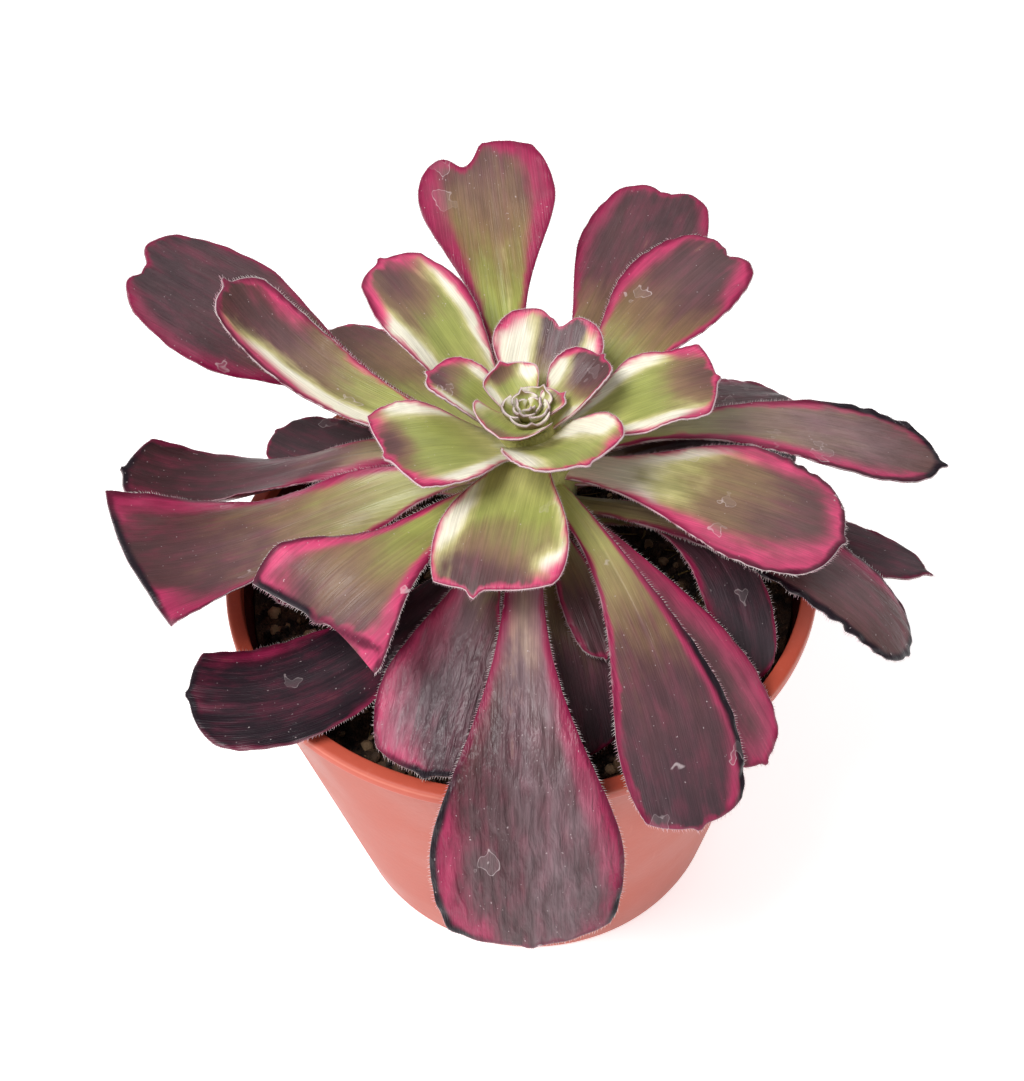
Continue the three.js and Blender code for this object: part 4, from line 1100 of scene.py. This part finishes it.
def grain_material(name, first, second, size):
    """Loose bits in the soil, each of its own shade between two colours."""
    finish = Finish(name)
    finish.mottle(size, 0.4, 0.3)
    own = finish.split(finish.attribute("grain"))[0]
    return finish.mottled(finish.mix(own, first, second), 0.8, 0.3)


def bark_material(settings):
    """Stem bark: grey-brown, cracked lengthwise, with green below the leaves."""
    finish = Finish("stem_bark")
    finish.mottle(5.0, 0.7, 0.2)
    cracks = finish.noise(finish.scaled(finish.place, 1.1, 1.1, 0.25), 1.0, 4.0)
    colour = finish.patched(settings.bark, settings.young_bark)
    colour = finish.mix(finish.rise(cracks, 0.5, 0.62, 0.7, 0.0), colour, settings.crack)
    height = finish.split(finish.place)[2]
    colour = finish.mix(finish.rise(height, 112.0, 122.0), colour, settings.leaf_bases)
    colour = finish.shaded(colour, finish.tones["Shade"])
    return finish.surface(colour, 0.75, cracks + finish.tones["Height"], 0.4)


# ---- Pieces ---------------------------------------------------------------------------------


def outer_radius(height):
    """Radius of the pot's outside, which grows evenly with the height."""
    return POT["base_radius"] + WALL_SLOPE * height


def inner_radius(height):
    """Radius of the pot's inside, a wall's thickness in."""
    return outer_radius(height) - POT["wall"]


def rounded_corner(start, corner, end, steps=4):
    """Points of a curved corner: a parabola that leaves towards the corner and arrives from it."""
    t = np.linspace(0, 1, steps + 1)[:, None]
    start, corner, end = np.array([start, corner, end], float)
    return ((1 - t) ** 2 * start + 2 * t * (1 - t) * corner + t * t * end).tolist()


def pot_profile():
    """The wall's (radius, height) outline from the middle of its base, over the lip, to its floor."""
    top, foot, soft = POT["height"], POT["foot_radius"], POT["lip_round"]
    rim, base, floor = POT["rim_radius"], POT["base_radius"], POT["floor"]
    inner_lip, inner_floor = rim - POT["lip_width"], inner_radius(floor)
    above, lip_foot = inner_radius(floor + 2), UNDER_LIP + POT["lip_step"]
    return [
        (0, 0),
        *rounded_corner((base - foot, 0), (base, 0), (outer_radius(foot), foot)),
        (outer_radius(UNDER_LIP), UNDER_LIP),
        *rounded_corner((rim - 0.4, lip_foot), (rim, lip_foot), (rim, lip_foot + 0.5), 3),
        *rounded_corner((rim, top - 2 * soft), (rim, top), (rim - 2 * soft, top)),
        *rounded_corner((inner_lip + soft, top), (inner_lip, top), (inner_lip, top - soft), 3),
        (inner_radius(UNDER_LIP - 1), UNDER_LIP - 1),
        *rounded_corner((above, floor + 2), (inner_floor, floor), (inner_floor - 2, floor)),
        (0, floor),
    ]


def pot_wall():
    """The wall's outline carried round an upright axis."""
    return lathe(turned(divided(pot_profile(), POT["mesh_step"]), POT["columns"]))


def drain_holes():
    """Rods that stand on a circle and pass through the pot's floor."""
    low, high, radius = -DRAIN["past"], POT["floor"] + DRAIN["past"], DRAIN["radius"]
    rod = [(0, low), (radius, low), (radius, high), (0, high)]
    parts = []
    for angle in round_steps(DRAIN["count"]):
        centre = (DRAIN["circle"] * math.cos(angle), DRAIN["circle"] * math.sin(angle))
        points, faces = lathe(turned(rod, DRAIN["columns"], centre))
        parts.append((points, faces, {}, np.zeros(len(faces), int)))
    return merge(parts)


def cut(piece, cutter):
    """Takes the cutter's shape out of the piece's mesh, and removes the cutter."""
    trim = piece.modifiers.new("cut", "BOOLEAN")
    trim.operation, trim.object, trim.solver = "DIFFERENCE", cutter, "EXACT"
    graph = bpy.context.evaluated_depsgraph_get()
    result = bpy.data.meshes.new_from_object(piece.evaluated_get(graph))
    old = piece.data
    piece.modifiers.clear()
    piece.data = result
    result.name = old.name
    bpy.data.meshes.remove(old)
    bpy.data.meshes.remove(cutter.data)


def ground(x, y):
    """Height of the soil: a low mound round the stem, long waves and rough crumbly noise."""
    away = np.hypot(x - STEM_X, y - STEM_Y)
    height = SOIL["level"] + SOIL["mound_height"] * np.exp(-((away / SOIL["mound_spread"]) ** 2))
    for size, along_x, along_y, phase in SOIL["waves"]:
        height = height + size * np.sin(along_x * x + along_y * y + phase)
    clods, *rough = SOIL["clods"]
    crumble, *fine = SOIL["crumble"]
    return height + clods * rough_noise(x, y, *rough) + crumble * np.abs(rough_noise(x, y, *fine))


def soil_body():
    """A closed body: a fine polar grid of the ground's height over a plain side and underside.

    The grid's rings lie a little closer together near the pot's wall.
    """
    columns = SOIL["columns"]
    lowest = corners("soil")[0][2]
    top_radius = inner_radius(SOIL["level"]) - SOIL["clearance"]
    radii = top_radius * np.linspace(1, 0, SOIL["rings"]) ** 0.8
    surface = turned([(radius, 0) for radius in radii], columns)
    surface[..., 2] = ground(surface[..., 0], surface[..., 1])
    below = turned([(0, lowest), (inner_radius(lowest) - SOIL["clearance"], lowest)], columns)
    return lathe(np.concatenate([below, surface]))


def scattered(count, largest, random):
    """Random places on the soil, evenly spread over its disc, and clear of the pot's wall."""
    reach = inner_radius(SOIL["level"]) - SOIL["clearance"] - largest
    radius = reach * np.sqrt(random.random(count))
    angle = random.uniform(0, 2 * np.pi, count)
    x, y = radius * np.cos(angle), radius * np.sin(angle)
    return np.stack([x, y, ground(x, y)], 1)


def loose_bits(shapes, faces, random):
    """Many small shapes as one part: shapes[i, j] is point j of shape i. Each has its own shade."""
    count, size = shapes.shape[:2]
    offsets = size * np.arange(count)[:, None, None]
    shade = np.repeat(random.random(count), size)
    faces = (offsets + faces).reshape(-1, faces.shape[1])
    faces = triangles(faces) if faces.shape[1] == 3 else faces
    return shapes.reshape(-1, 3), faces, {"grain": np.stack([shade] * 3, 1)}


def lumps(count, sizes, grid, flatness, random):
    """Small rough lumps on the soil: a ball, stretched and turned at random each time.

    Small radii are more frequent than great ones. The ball's quads are split into triangles.
    """
    radii = sizes[0] + (sizes[1] - sizes[0]) * random.random(count) ** 2
    slope = np.radians(np.linspace(-90, 90, grid[0] + 2))
    ball, faces = lathe(turned(np.stack([np.cos(slope), np.sin(slope)], 1), grid[1]))
    shapes = ball * random.uniform(*LUMP_ROUGHNESS, (count, len(ball), 1))
    shapes = shapes * random.uniform(*LUMP_STRETCH, (count, 1, 3)) * [1, 1, flatness]
    turns = np.linalg.qr(random.normal(size=(count, 3, 3)))[0]
    turns[np.linalg.det(turns) < 0, :, 0] *= -1
    shapes = np.einsum("nij,nkj->nki", turns, shapes) * radii[:, None, None]
    places = scattered(count, sizes[1] * LUMP_CLEARANCE, random) + [0, 0, LUMP_RISE]
    fans = faces[:, [0, 1, 2, 0, 2, 3]].reshape(-1, 3)
    return loose_bits(shapes + places[:, None], fans[fans.min(1) >= 0], random)


def fibres(count, random):
    """Bits of root and bark: slim closed four-sided rods, bowed a little, lying on the soil."""
    shortest, longest = FIBRE["half_length"]
    stations = np.linspace(-1, 1, 5)
    places = scattered(count, longest, random)
    length = random.uniform(shortest, longest, count)[:, None]
    azimuth = random.uniform(0, 360, count)
    ahead = heading(random.normal(0, FIBRE["tilt"], count), azimuth)[:, None]
    aside = heading(np.zeros(count), azimuth + 90)[:, None]
    bow = random.normal(0, FIBRE["bow"], count)[:, None] * length * (1 - stations**2)
    middle = places[:, None] + ahead * (length * stations)[..., None]
    middle = middle + aside * bow[..., None] + [0, 0, FIBRE["rise"]]
    thick = random.uniform(*FIBRE["half_thickness"], count)[:, None] * np.array(FIBRE["taper"])
    angle = round_steps(4)[:, None]
    ring = np.cos(angle) * aside + np.sin(angle) * np.cross(ahead, aside)
    points = (middle[:, :, None] + ring[:, None] * thick[..., None, None]).reshape(count, -1, 3)
    caps = np.array([[3, 2, 1, 0], [16, 17, 18, 19]])
    return loose_bits(points, np.concatenate([ring_faces(5, 4), caps]), random)


def stem_body():
    """The stem turned about its axis, with ridged leaf scars and shallow lengthwise wrinkles.

    A scar is a bell curve of the height, and a wrinkle a wave round the stem that slants with it.
    """
    columns = 96
    profile = divided([(0, STEM["root_end"]), (STEM["root_radius"], STEM["root_end"] + 4),
                       *((radius, height) for height, radius in STEM["profile"]),
                       (0, STEM["profile"][-1][0])], 0.7)
    height = profile[:, 1:]
    scar = sum(np.exp(-(((height - at) / STEM["scar_width"] * 2) ** 2)) for at in STEM["scars"])
    angle = round_steps(columns)
    wrinkle = sum(depth * np.sin(number * angle + slant * height)
                  for depth, number, slant in STEM["wrinkles"])
    share = smooth(profile[:, :1] / 4) * smooth((STEM["smooth_from"] - height) / 4)
    swell = (STEM["scar_height"] * scar + wrinkle) * share
    outward = np.stack([np.cos(angle), np.sin(angle), np.zeros(columns)], -1)
    return lathe(turned(profile, columns, (STEM_X, STEM_Y)) + swell[..., None] * outward)


def bud_rows():
    """The smallest leaves, each a golden angle on from the last, shorter and narrower."""
    rows = []
    for i in range(BUD["leaves"]):
        azimuth = BUD["first_azimuth"] + BUD["golden_angle"] * i
        reach = BUD["reach"] - BUD["reach_step"] * i
        rows.append(leaf_row(
            (azimuth, BUD["foot"] + BUD["foot_step"] * i), (reach, azimuth, BUD["top"]), BUD["pitch"],
            BUD["width"] - BUD["width_step"] * i, (1.0, 0.08, 1.0), (0.0, 0.0, 0.0), cup=BUD["cup"],
            cream=[(0.6, side, 0.5, 0.55, 0.9) for side in (1.0, -1.0)]))
    return rows


def core_part():
    """The growing tip that the smallest leaves stand on, marked as the base of a leaf."""
    profile = divided([(0, CORE["foot"]), (CORE["foot_radius"], CORE["foot"]),
                       (CORE["top_radius"], CORE["top"]), (0, CORE["top"] + CORE["cap"])], 0.4)
    points, faces = lathe(turned(profile, 48, (STEM_X, STEM_Y)))
    same = {"blade": (0.2, 0.0, 9.0), "tone": (0.9, 0.3, 0.2), "mood": (0, 0, 0), "patches": (0, 0, 0),
            "state": (1, 0, 0)}
    attributes = {name: np.tile(values, (len(points), 1)) for name, values in same.items()}
    return points, faces, {**attributes, "place": points}, np.zeros(len(faces), int)


def leaf_materials(settings):
    """The materials of leaves and hairs, built the first time that they are asked for."""
    builds = {"aeonium_leaf": leaf_material, "leaf_hair": hair_material}
    return [bpy.data.materials.get(name) or build(settings) for name, build in builds.items()]


def make_leaves(ring, rows, settings):
    """A piece for each row of the ring's leaves, named after its solid."""
    for number, row in enumerate(rows, 1):
        node = f"{ring}_leaf_{number:02d}"
        part = leaf_part(row, LEAF_SEEDS[ring] + number, settings)
        dress(make_piece(f"{node}_blade", part, *leaf_materials(settings)), node)


# ---- Stage ----------------------------------------------------------------------------------

WHITE = (1.0, 1.0, 1.0)
FLOOR_SIDE = 6.0  # metres
LAMPS = {  # side of the square lamp and its place from the target, in metres
    "key": (0.5, (-0.45, -0.25, 0.85)),
    "front": (0.6, (-0.35, -0.95, 0.1)),
    "fill": (0.7, (0.5, 0.5, 0.8)),
}


def add_floor(settings):
    """A pale square that gives off a little light, as a lit table does."""
    mesh = bpy.data.meshes.new("floor")
    low, high = -FLOOR_SIDE / 2, FLOOR_SIDE / 2
    mesh.from_pydata([(low, low, 0), (high, low, 0), (high, high, 0), (low, high, 0)], [], [(0, 1, 2, 3)])
    finish = Finish("floor_white")
    finish.set_shader({"Base Color": tint(252, 252, 252), "Roughness": 0.9, "Emission Color": WHITE,
                       "Emission Strength": settings.floor_glow})
    mesh.materials.append(finish.material)
    add_object("floor", mesh)


def add_surround(strength):
    """White light from all round. Behind the floor the camera sees plain white."""
    world = bpy.data.worlds.new("studio")
    world.use_nodes = True
    nodes, links = world.node_tree.nodes, world.node_tree.links
    mixed = nodes.new("ShaderNodeMixShader")
    links.new(nodes.new("ShaderNodeLightPath").outputs["Is Camera Ray"], mixed.inputs[0])
    seen = nodes.new("ShaderNodeBackground")
    for place, (background, power) in enumerate(((nodes["Background"], strength), (seen, 1.0)), 1):
        background.inputs["Color"].default_value = (*WHITE, 1.0)
        background.inputs["Strength"].default_value = power
        links.new(background.outputs[0], mixed.inputs[place])
    links.new(mixed.outputs[0], nodes["World Output"].inputs["Surface"])
    bpy.context.scene.world = world


def add_lamps(settings):
    """Square soft lamps that face the target."""
    target = Vector(settings.target)
    for name, (side, offset) in LAMPS.items():
        light = bpy.data.lights.new(name, "AREA")
        light.energy, light.size = getattr(settings, name), side
        turn = (-Vector(offset).normalized()).to_track_quat("-Z", "Y").to_matrix().to_4x4()
        add_object(name, light).matrix_world = Matrix.Translation(target + Vector(offset)) @ turn


def add_camera(settings):
    """The camera looks along +Y and down at the target, turned a little about its own axis."""
    data = bpy.data.cameras.new("camera")
    data.lens, data.sensor_width = settings.lens, 36.0
    data.clip_start, data.clip_end = 0.01, 20.0
    camera = add_object("camera", data)
    rise, turn = settings.elevation, settings.tilt
    ahead = Vector((0, math.cos(rise), -math.sin(rise)))
    level, upright = Vector((1, 0, 0)), Vector((0, math.sin(rise), math.cos(rise)))
    right = level * math.cos(turn) + upright * math.sin(turn)
    up = upright * math.cos(turn) - level * math.sin(turn)
    rotation = Matrix((right, up, -ahead)).transposed().to_4x4()
    place = Vector(settings.target) - ahead * settings.distance
    camera.matrix_world = Matrix.Translation(place) @ rotation
    bpy.context.scene.camera = camera
    bpy.context.scene.view_settings.view_transform = "Standard"


# ---- Add-on ---------------------------------------------------------------------------------


def colour_setting(title, use, *screen):
    """A colour property, from its 0-255 screen values."""
    return FloatVectorProperty(name=title, description=use, default=tint(*screen), size=3, min=0,
                               max=1, subtype="COLOR")


def length_setting(title, use, millimetres):
    """A length property, from its value in millimetres."""
    return FloatProperty(name=title, description=use, default=millimetres * MM, min=0, unit="LENGTH",
                         subtype="DISTANCE")


def angle_setting(title, use, degrees):
    """An angle property, from its value in degrees."""
    return FloatProperty(name=title, description=use, default=math.radians(degrees), subtype="ANGLE")


def amount_setting(title, use, default, **limits):
    """A number from 0 up."""
    return FloatProperty(name=title, description=use, default=default, min=0, **limits)


def count_setting(title, use, default, least=0):
    """A whole number."""
    return IntProperty(name=title, description=use, default=default, min=least)


class AeoniumLeafSettings(bpy.types.PropertyGroup):
    """Colours of the leaves, fineness of their meshes and their marginal hairs."""

    pale: colour_setting("Pale", "Bases of the young leaves", 216, 210, 138)
    green: colour_setting("Green", "Middle of the young leaves, near their base", 160, 168, 78)
    olive: colour_setting("Olive", "Where green gives way to purple", 134, 106, 68)
    purple: colour_setting("Purple", "Outer half of the leaves", 86, 36, 49)
    dark: colour_setting("Dark", "Ends of the oldest leaves", 26, 11, 23)
    crimson: colour_setting("Crimson", "Line along the margin", 130, 8, 60)
    pink: colour_setting("Pink", "Band inside the crimson line", 236, 78, 128)
    cream: colour_setting("Cream", "Variegated patches on the young leaves", 255, 250, 226)
    rim: colour_setting("Rim", "Pale outermost edge, and dried mineral marks", 244, 226, 228)
    # Veil colour of waxy coat and painted sheen on the crests of puckered leaves.
    bloom: colour_setting("Bloom", "Waxy bloom on the crests of puckered leaves", 172, 148, 156)
    under: colour_setting("Underside", "Lower face of the leaves", 92, 64, 62)
    hair: colour_setting("Hair", "Marginal hairs", 240, 232, 228)
    hair_tint: colour_setting("Hair tint", "Pinker marginal hairs", 226, 176, 190)
    shine: amount_setting("Shine", "Strength of the surface's reflections", 0.32, max=1)
    rows_along: count_setting("Rows along", "Grid rows of a blade", 64, 8)
    rows_across: count_setting("Rows across", "Grid columns of a blade", 40, 5)
    hair_spacing: length_setting("Hair spacing", "Distance between marginal hairs", 0.5)
    hair_length: length_setting("Hair length", "Usual length of a marginal hair", 0.8)
    hair_thickness: length_setting("Hair thickness", "Width of a hair at its foot", 0.17)


class AeoniumPotSettings(bpy.types.PropertyGroup):
    """Colours of the pot."""

    body: colour_setting("Body", "Outside of the wall", 178, 78, 57)
    foot: colour_setting("Foot", "Lower part of the wall", 160, 64, 47)
    lip: colour_setting("Lip", "Rim of the pot", 194, 84, 63)
    # Edge colours the lip's upper outer edge, a painted highlight and partly wear, and the scuffs.
    edge: colour_setting("Edge", "Upper outer edge of the lip, and scuffs", 232, 160, 142)
    # Inside is darker than the body as painted shade.
    inside: colour_setting("Inside", "Inner face of the wall", 80, 18, 18)
    shine: amount_setting("Shine", "Strength of the surface's reflections", 0.32, max=1)


class AeoniumSoilSettings(bpy.types.PropertyGroup):
    """Colours of the soil, and how much loose material lies on it."""

    dark: colour_setting("Dark", "Darkest earth", 30, 21, 17)
    brown: colour_setting("Brown", "Brown earth", 88, 64, 46)
    grit: colour_setting("Grit", "Fine pale grains", 160, 132, 100)
    stone: colour_setting("Stone", "Pumice stones", 196, 160, 124)
    stone_dark: colour_setting("Dark stone", "Darker pumice stones", 112, 84, 58)
    fibre: colour_setting("Fibre", "Bits of root and bark", 150, 126, 74)
    crumbs: count_setting("Crumbs", "Lumps of earth", 2600)
    stones: count_setting("Stones", "Pumice stones", 300)
    fibres: count_setting("Fibres", "Bits of root and bark", 260)


class AeoniumStemSettings(bpy.types.PropertyGroup):
    """Colours of the stem."""

    bark: colour_setting("Bark", "Old bark", 104, 88, 64)
    young_bark: colour_setting("Young bark", "Greener bark", 112, 112, 66)
    leaf_bases: colour_setting("Leaf bases", "Top of the stem, where leaves join it", 190, 186, 110)
    crack: colour_setting("Crack", "Cracks in the bark", 52, 40, 30)


class AeoniumStageSettings(bpy.types.PropertyGroup):
    """Camera, lights and floor."""

    distance: length_setting("Distance", "From the camera to the point it looks at", 328.1)
    elevation: angle_setting("Elevation", "Camera's height angle", 47.26)
    tilt: angle_setting("Tilt", "Camera's turn about its own axis", -3.446)
    target: FloatVectorProperty(name="Target", description="The point the camera looks at", size=3,
                                default=(-0.00165, 0.0, 0.09714), subtype="TRANSLATION", unit="LENGTH")
    lens: amount_setting("Lens", "Focal length for a 36 mm sensor", 50.0)
    surround: amount_setting("Surround", "Light from all round", 0.37)
    key: amount_setting("Key", "Power of the main lamp in watts", 8.2)
    front: amount_setting("Front", "Power of the low front lamp in watts", 1.9)
    fill: amount_setting("Fill", "Power of the second lamp in watts", 1.6)
    floor_glow: amount_setting("Floor glow", "Light that the floor gives off, as a lit table does", 0.58)


class AEONIUM_OT_stage(bpy.types.Operator):
    """Adds the pale floor, the soft lights and the camera"""

    bl_idname = "aeonium.stage"
    bl_label = "Stage"

    def execute(self, context):
        settings = context.scene.aeonium_stage
        add_floor(settings)
        add_surround(settings.surround)
        add_lamps(settings)
        add_camera(settings)
        return {"FINISHED"}


class AEONIUM_OT_pot(bpy.types.Operator):
    """Builds the pot: a thin tapered wall with a rolled lip and holes in its base"""

    bl_idname = "aeonium.pot"
    bl_label = "Pot"

    def execute(self, context):
        material = pot_material(context.scene.aeonium_pot)
        piece = make_piece("pot_shell", pot_wall(), material)
        cut(piece, make_piece("drills", drain_holes(), material))
        dress(piece, "pot")
        return {"FINISHED"}


class AEONIUM_OT_soil(bpy.types.Operator):
    """Builds the soil with its crumbs, pumice stones and fibres"""

    bl_idname = "aeonium.soil"
    bl_label = "Soil"

    def execute(self, context):
        settings = context.scene.aeonium_soil
        random = np.random.default_rng(SOIL["seed"])
        earth = soil_material(settings)
        stone = grain_material("pumice", settings.stone_dark, settings.stone, 2.0)
        wood = grain_material("fibre", settings.brown, settings.fibre, 1.5)
        dress(make_piece("soil_bed", soil_body(), earth), "soil")
        crumbs = make_piece("soil_crumbs", lumps(settings.crumbs, *CRUMB, random), earth)
        stones = make_piece("soil_stones", lumps(settings.stones, *STONE, random), stone)
        for piece in (crumbs, stones, make_piece("soil_fibres", fibres(settings.fibres, random), wood)):
            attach(piece, "root")
        return {"FINISHED"}


class AEONIUM_OT_stem(bpy.types.Operator):
    """Builds the stem with its leaf scars"""

    bl_idname = "aeonium.stem"
    bl_label = "Stem"

    def execute(self, context):
        material = bark_material(context.scene.aeonium_stem)
        dress(make_piece("stem_bark_body", stem_body(), material), "stem")
        return {"FINISHED"}


class AEONIUM_OT_heart(bpy.types.Operator):
    """Builds the heart of the rosette: three small leaves round a tight bud"""

    bl_idname = "aeonium.heart"
    bl_label = "Heart"

    def execute(self, context):
        settings = context.scene.aeonium_leaf
        rows = [{**HEART_LEAF, **row} for row in (*HEART_LEAVES, *bud_rows())]
        leaves = [leaf_part(row, LEAF_SEEDS["heart"] + k, settings) for k, row in enumerate(rows)]
        part = merge([core_part(), *leaves])
        piece = make_piece("rosette_heart_leaves", part, *leaf_materials(settings))
        dress(piece, "rosette_heart")
        return {"FINISHED"}


class AEONIUM_OT_inner_leaves(bpy.types.Operator):
    """Builds the inner leaves, with broad cream margins"""

    bl_idname = "aeonium.inner_leaves"
    bl_label = "Inner leaves"

    def execute(self, context):
        rows = [{**INNER_LEAF, **row} for row in INNER_LEAVES]
        make_leaves("inner", rows, context.scene.aeonium_leaf)
        return {"FINISHED"}


class AEONIUM_OT_middle_leaves(bpy.types.Operator):
    """Builds the middle leaves, green at the base and purple at the end"""

    bl_idname = "aeonium.middle_leaves"
    bl_label = "Middle leaves"

    def execute(self, context):
        make_leaves("middle", MIDDLE_LEAVES, context.scene.aeonium_leaf)
        return {"FINISHED"}


class AEONIUM_OT_outer_leaves(bpy.types.Operator):
    """Builds the outer leaves, dark purple"""

    bl_idname = "aeonium.outer_leaves"
    bl_label = "Outer leaves"

    def execute(self, context):
        make_leaves("outer", OUTER_LEAVES, context.scene.aeonium_leaf)
        return {"FINISHED"}


SETTINGS = {
    "aeonium_stage": AeoniumStageSettings,
    "aeonium_pot": AeoniumPotSettings,
    "aeonium_soil": AeoniumSoilSettings,
    "aeonium_stem": AeoniumStemSettings,
    "aeonium_leaf": AeoniumLeafSettings,
}
OPERATORS = (
    AEONIUM_OT_stage,
    AEONIUM_OT_pot,
    AEONIUM_OT_soil,
    AEONIUM_OT_stem,
    AEONIUM_OT_heart,
    AEONIUM_OT_inner_leaves,
    AEONIUM_OT_middle_leaves,
    AEONIUM_OT_outer_leaves,
)


class AEONIUM_PT_panel(bpy.types.Panel):
    """Lists the aeonium's pieces and their settings"""

    bl_idname = "AEONIUM_PT_panel"
    bl_label = "Potted Aeonium"
    bl_space_type = "VIEW_3D"
    bl_region_type = "UI"
    bl_category = "Aeonium"

    def draw(self, context):
        layout = self.layout
        for operator in OPERATORS:
            layout.operator(operator.bl_idname)
        for name, group in SETTINGS.items():
            box = layout.box()
            box.label(text=name.replace("_", " ").capitalize())
            for key in group.__annotations__:
                box.prop(getattr(context.scene, name), key)


def register():
    for group in (*SETTINGS.values(), *OPERATORS, AEONIUM_PT_panel):
        bpy.utils.register_class(group)
    for name, group in SETTINGS.items():
        setattr(bpy.types.Scene, name, PointerProperty(type=group))


def unregister():
    for name in SETTINGS:
        delattr(bpy.types.Scene, name)
    for group in (AEONIUM_PT_panel, *reversed(OPERATORS), *reversed(SETTINGS.values())):
        bpy.utils.unregister_class(group)


def main():
    """Builds everything."""
    register()
    bpy.ops.aeonium.stage()
    bpy.ops.aeonium.pot()
    bpy.ops.aeonium.soil()
    bpy.ops.aeonium.stem()
    bpy.ops.aeonium.heart()
    bpy.ops.aeonium.inner_leaves()
    bpy.ops.aeonium.middle_leaves()
    bpy.ops.aeonium.outer_leaves()


if __name__ == "__main__":
    main()
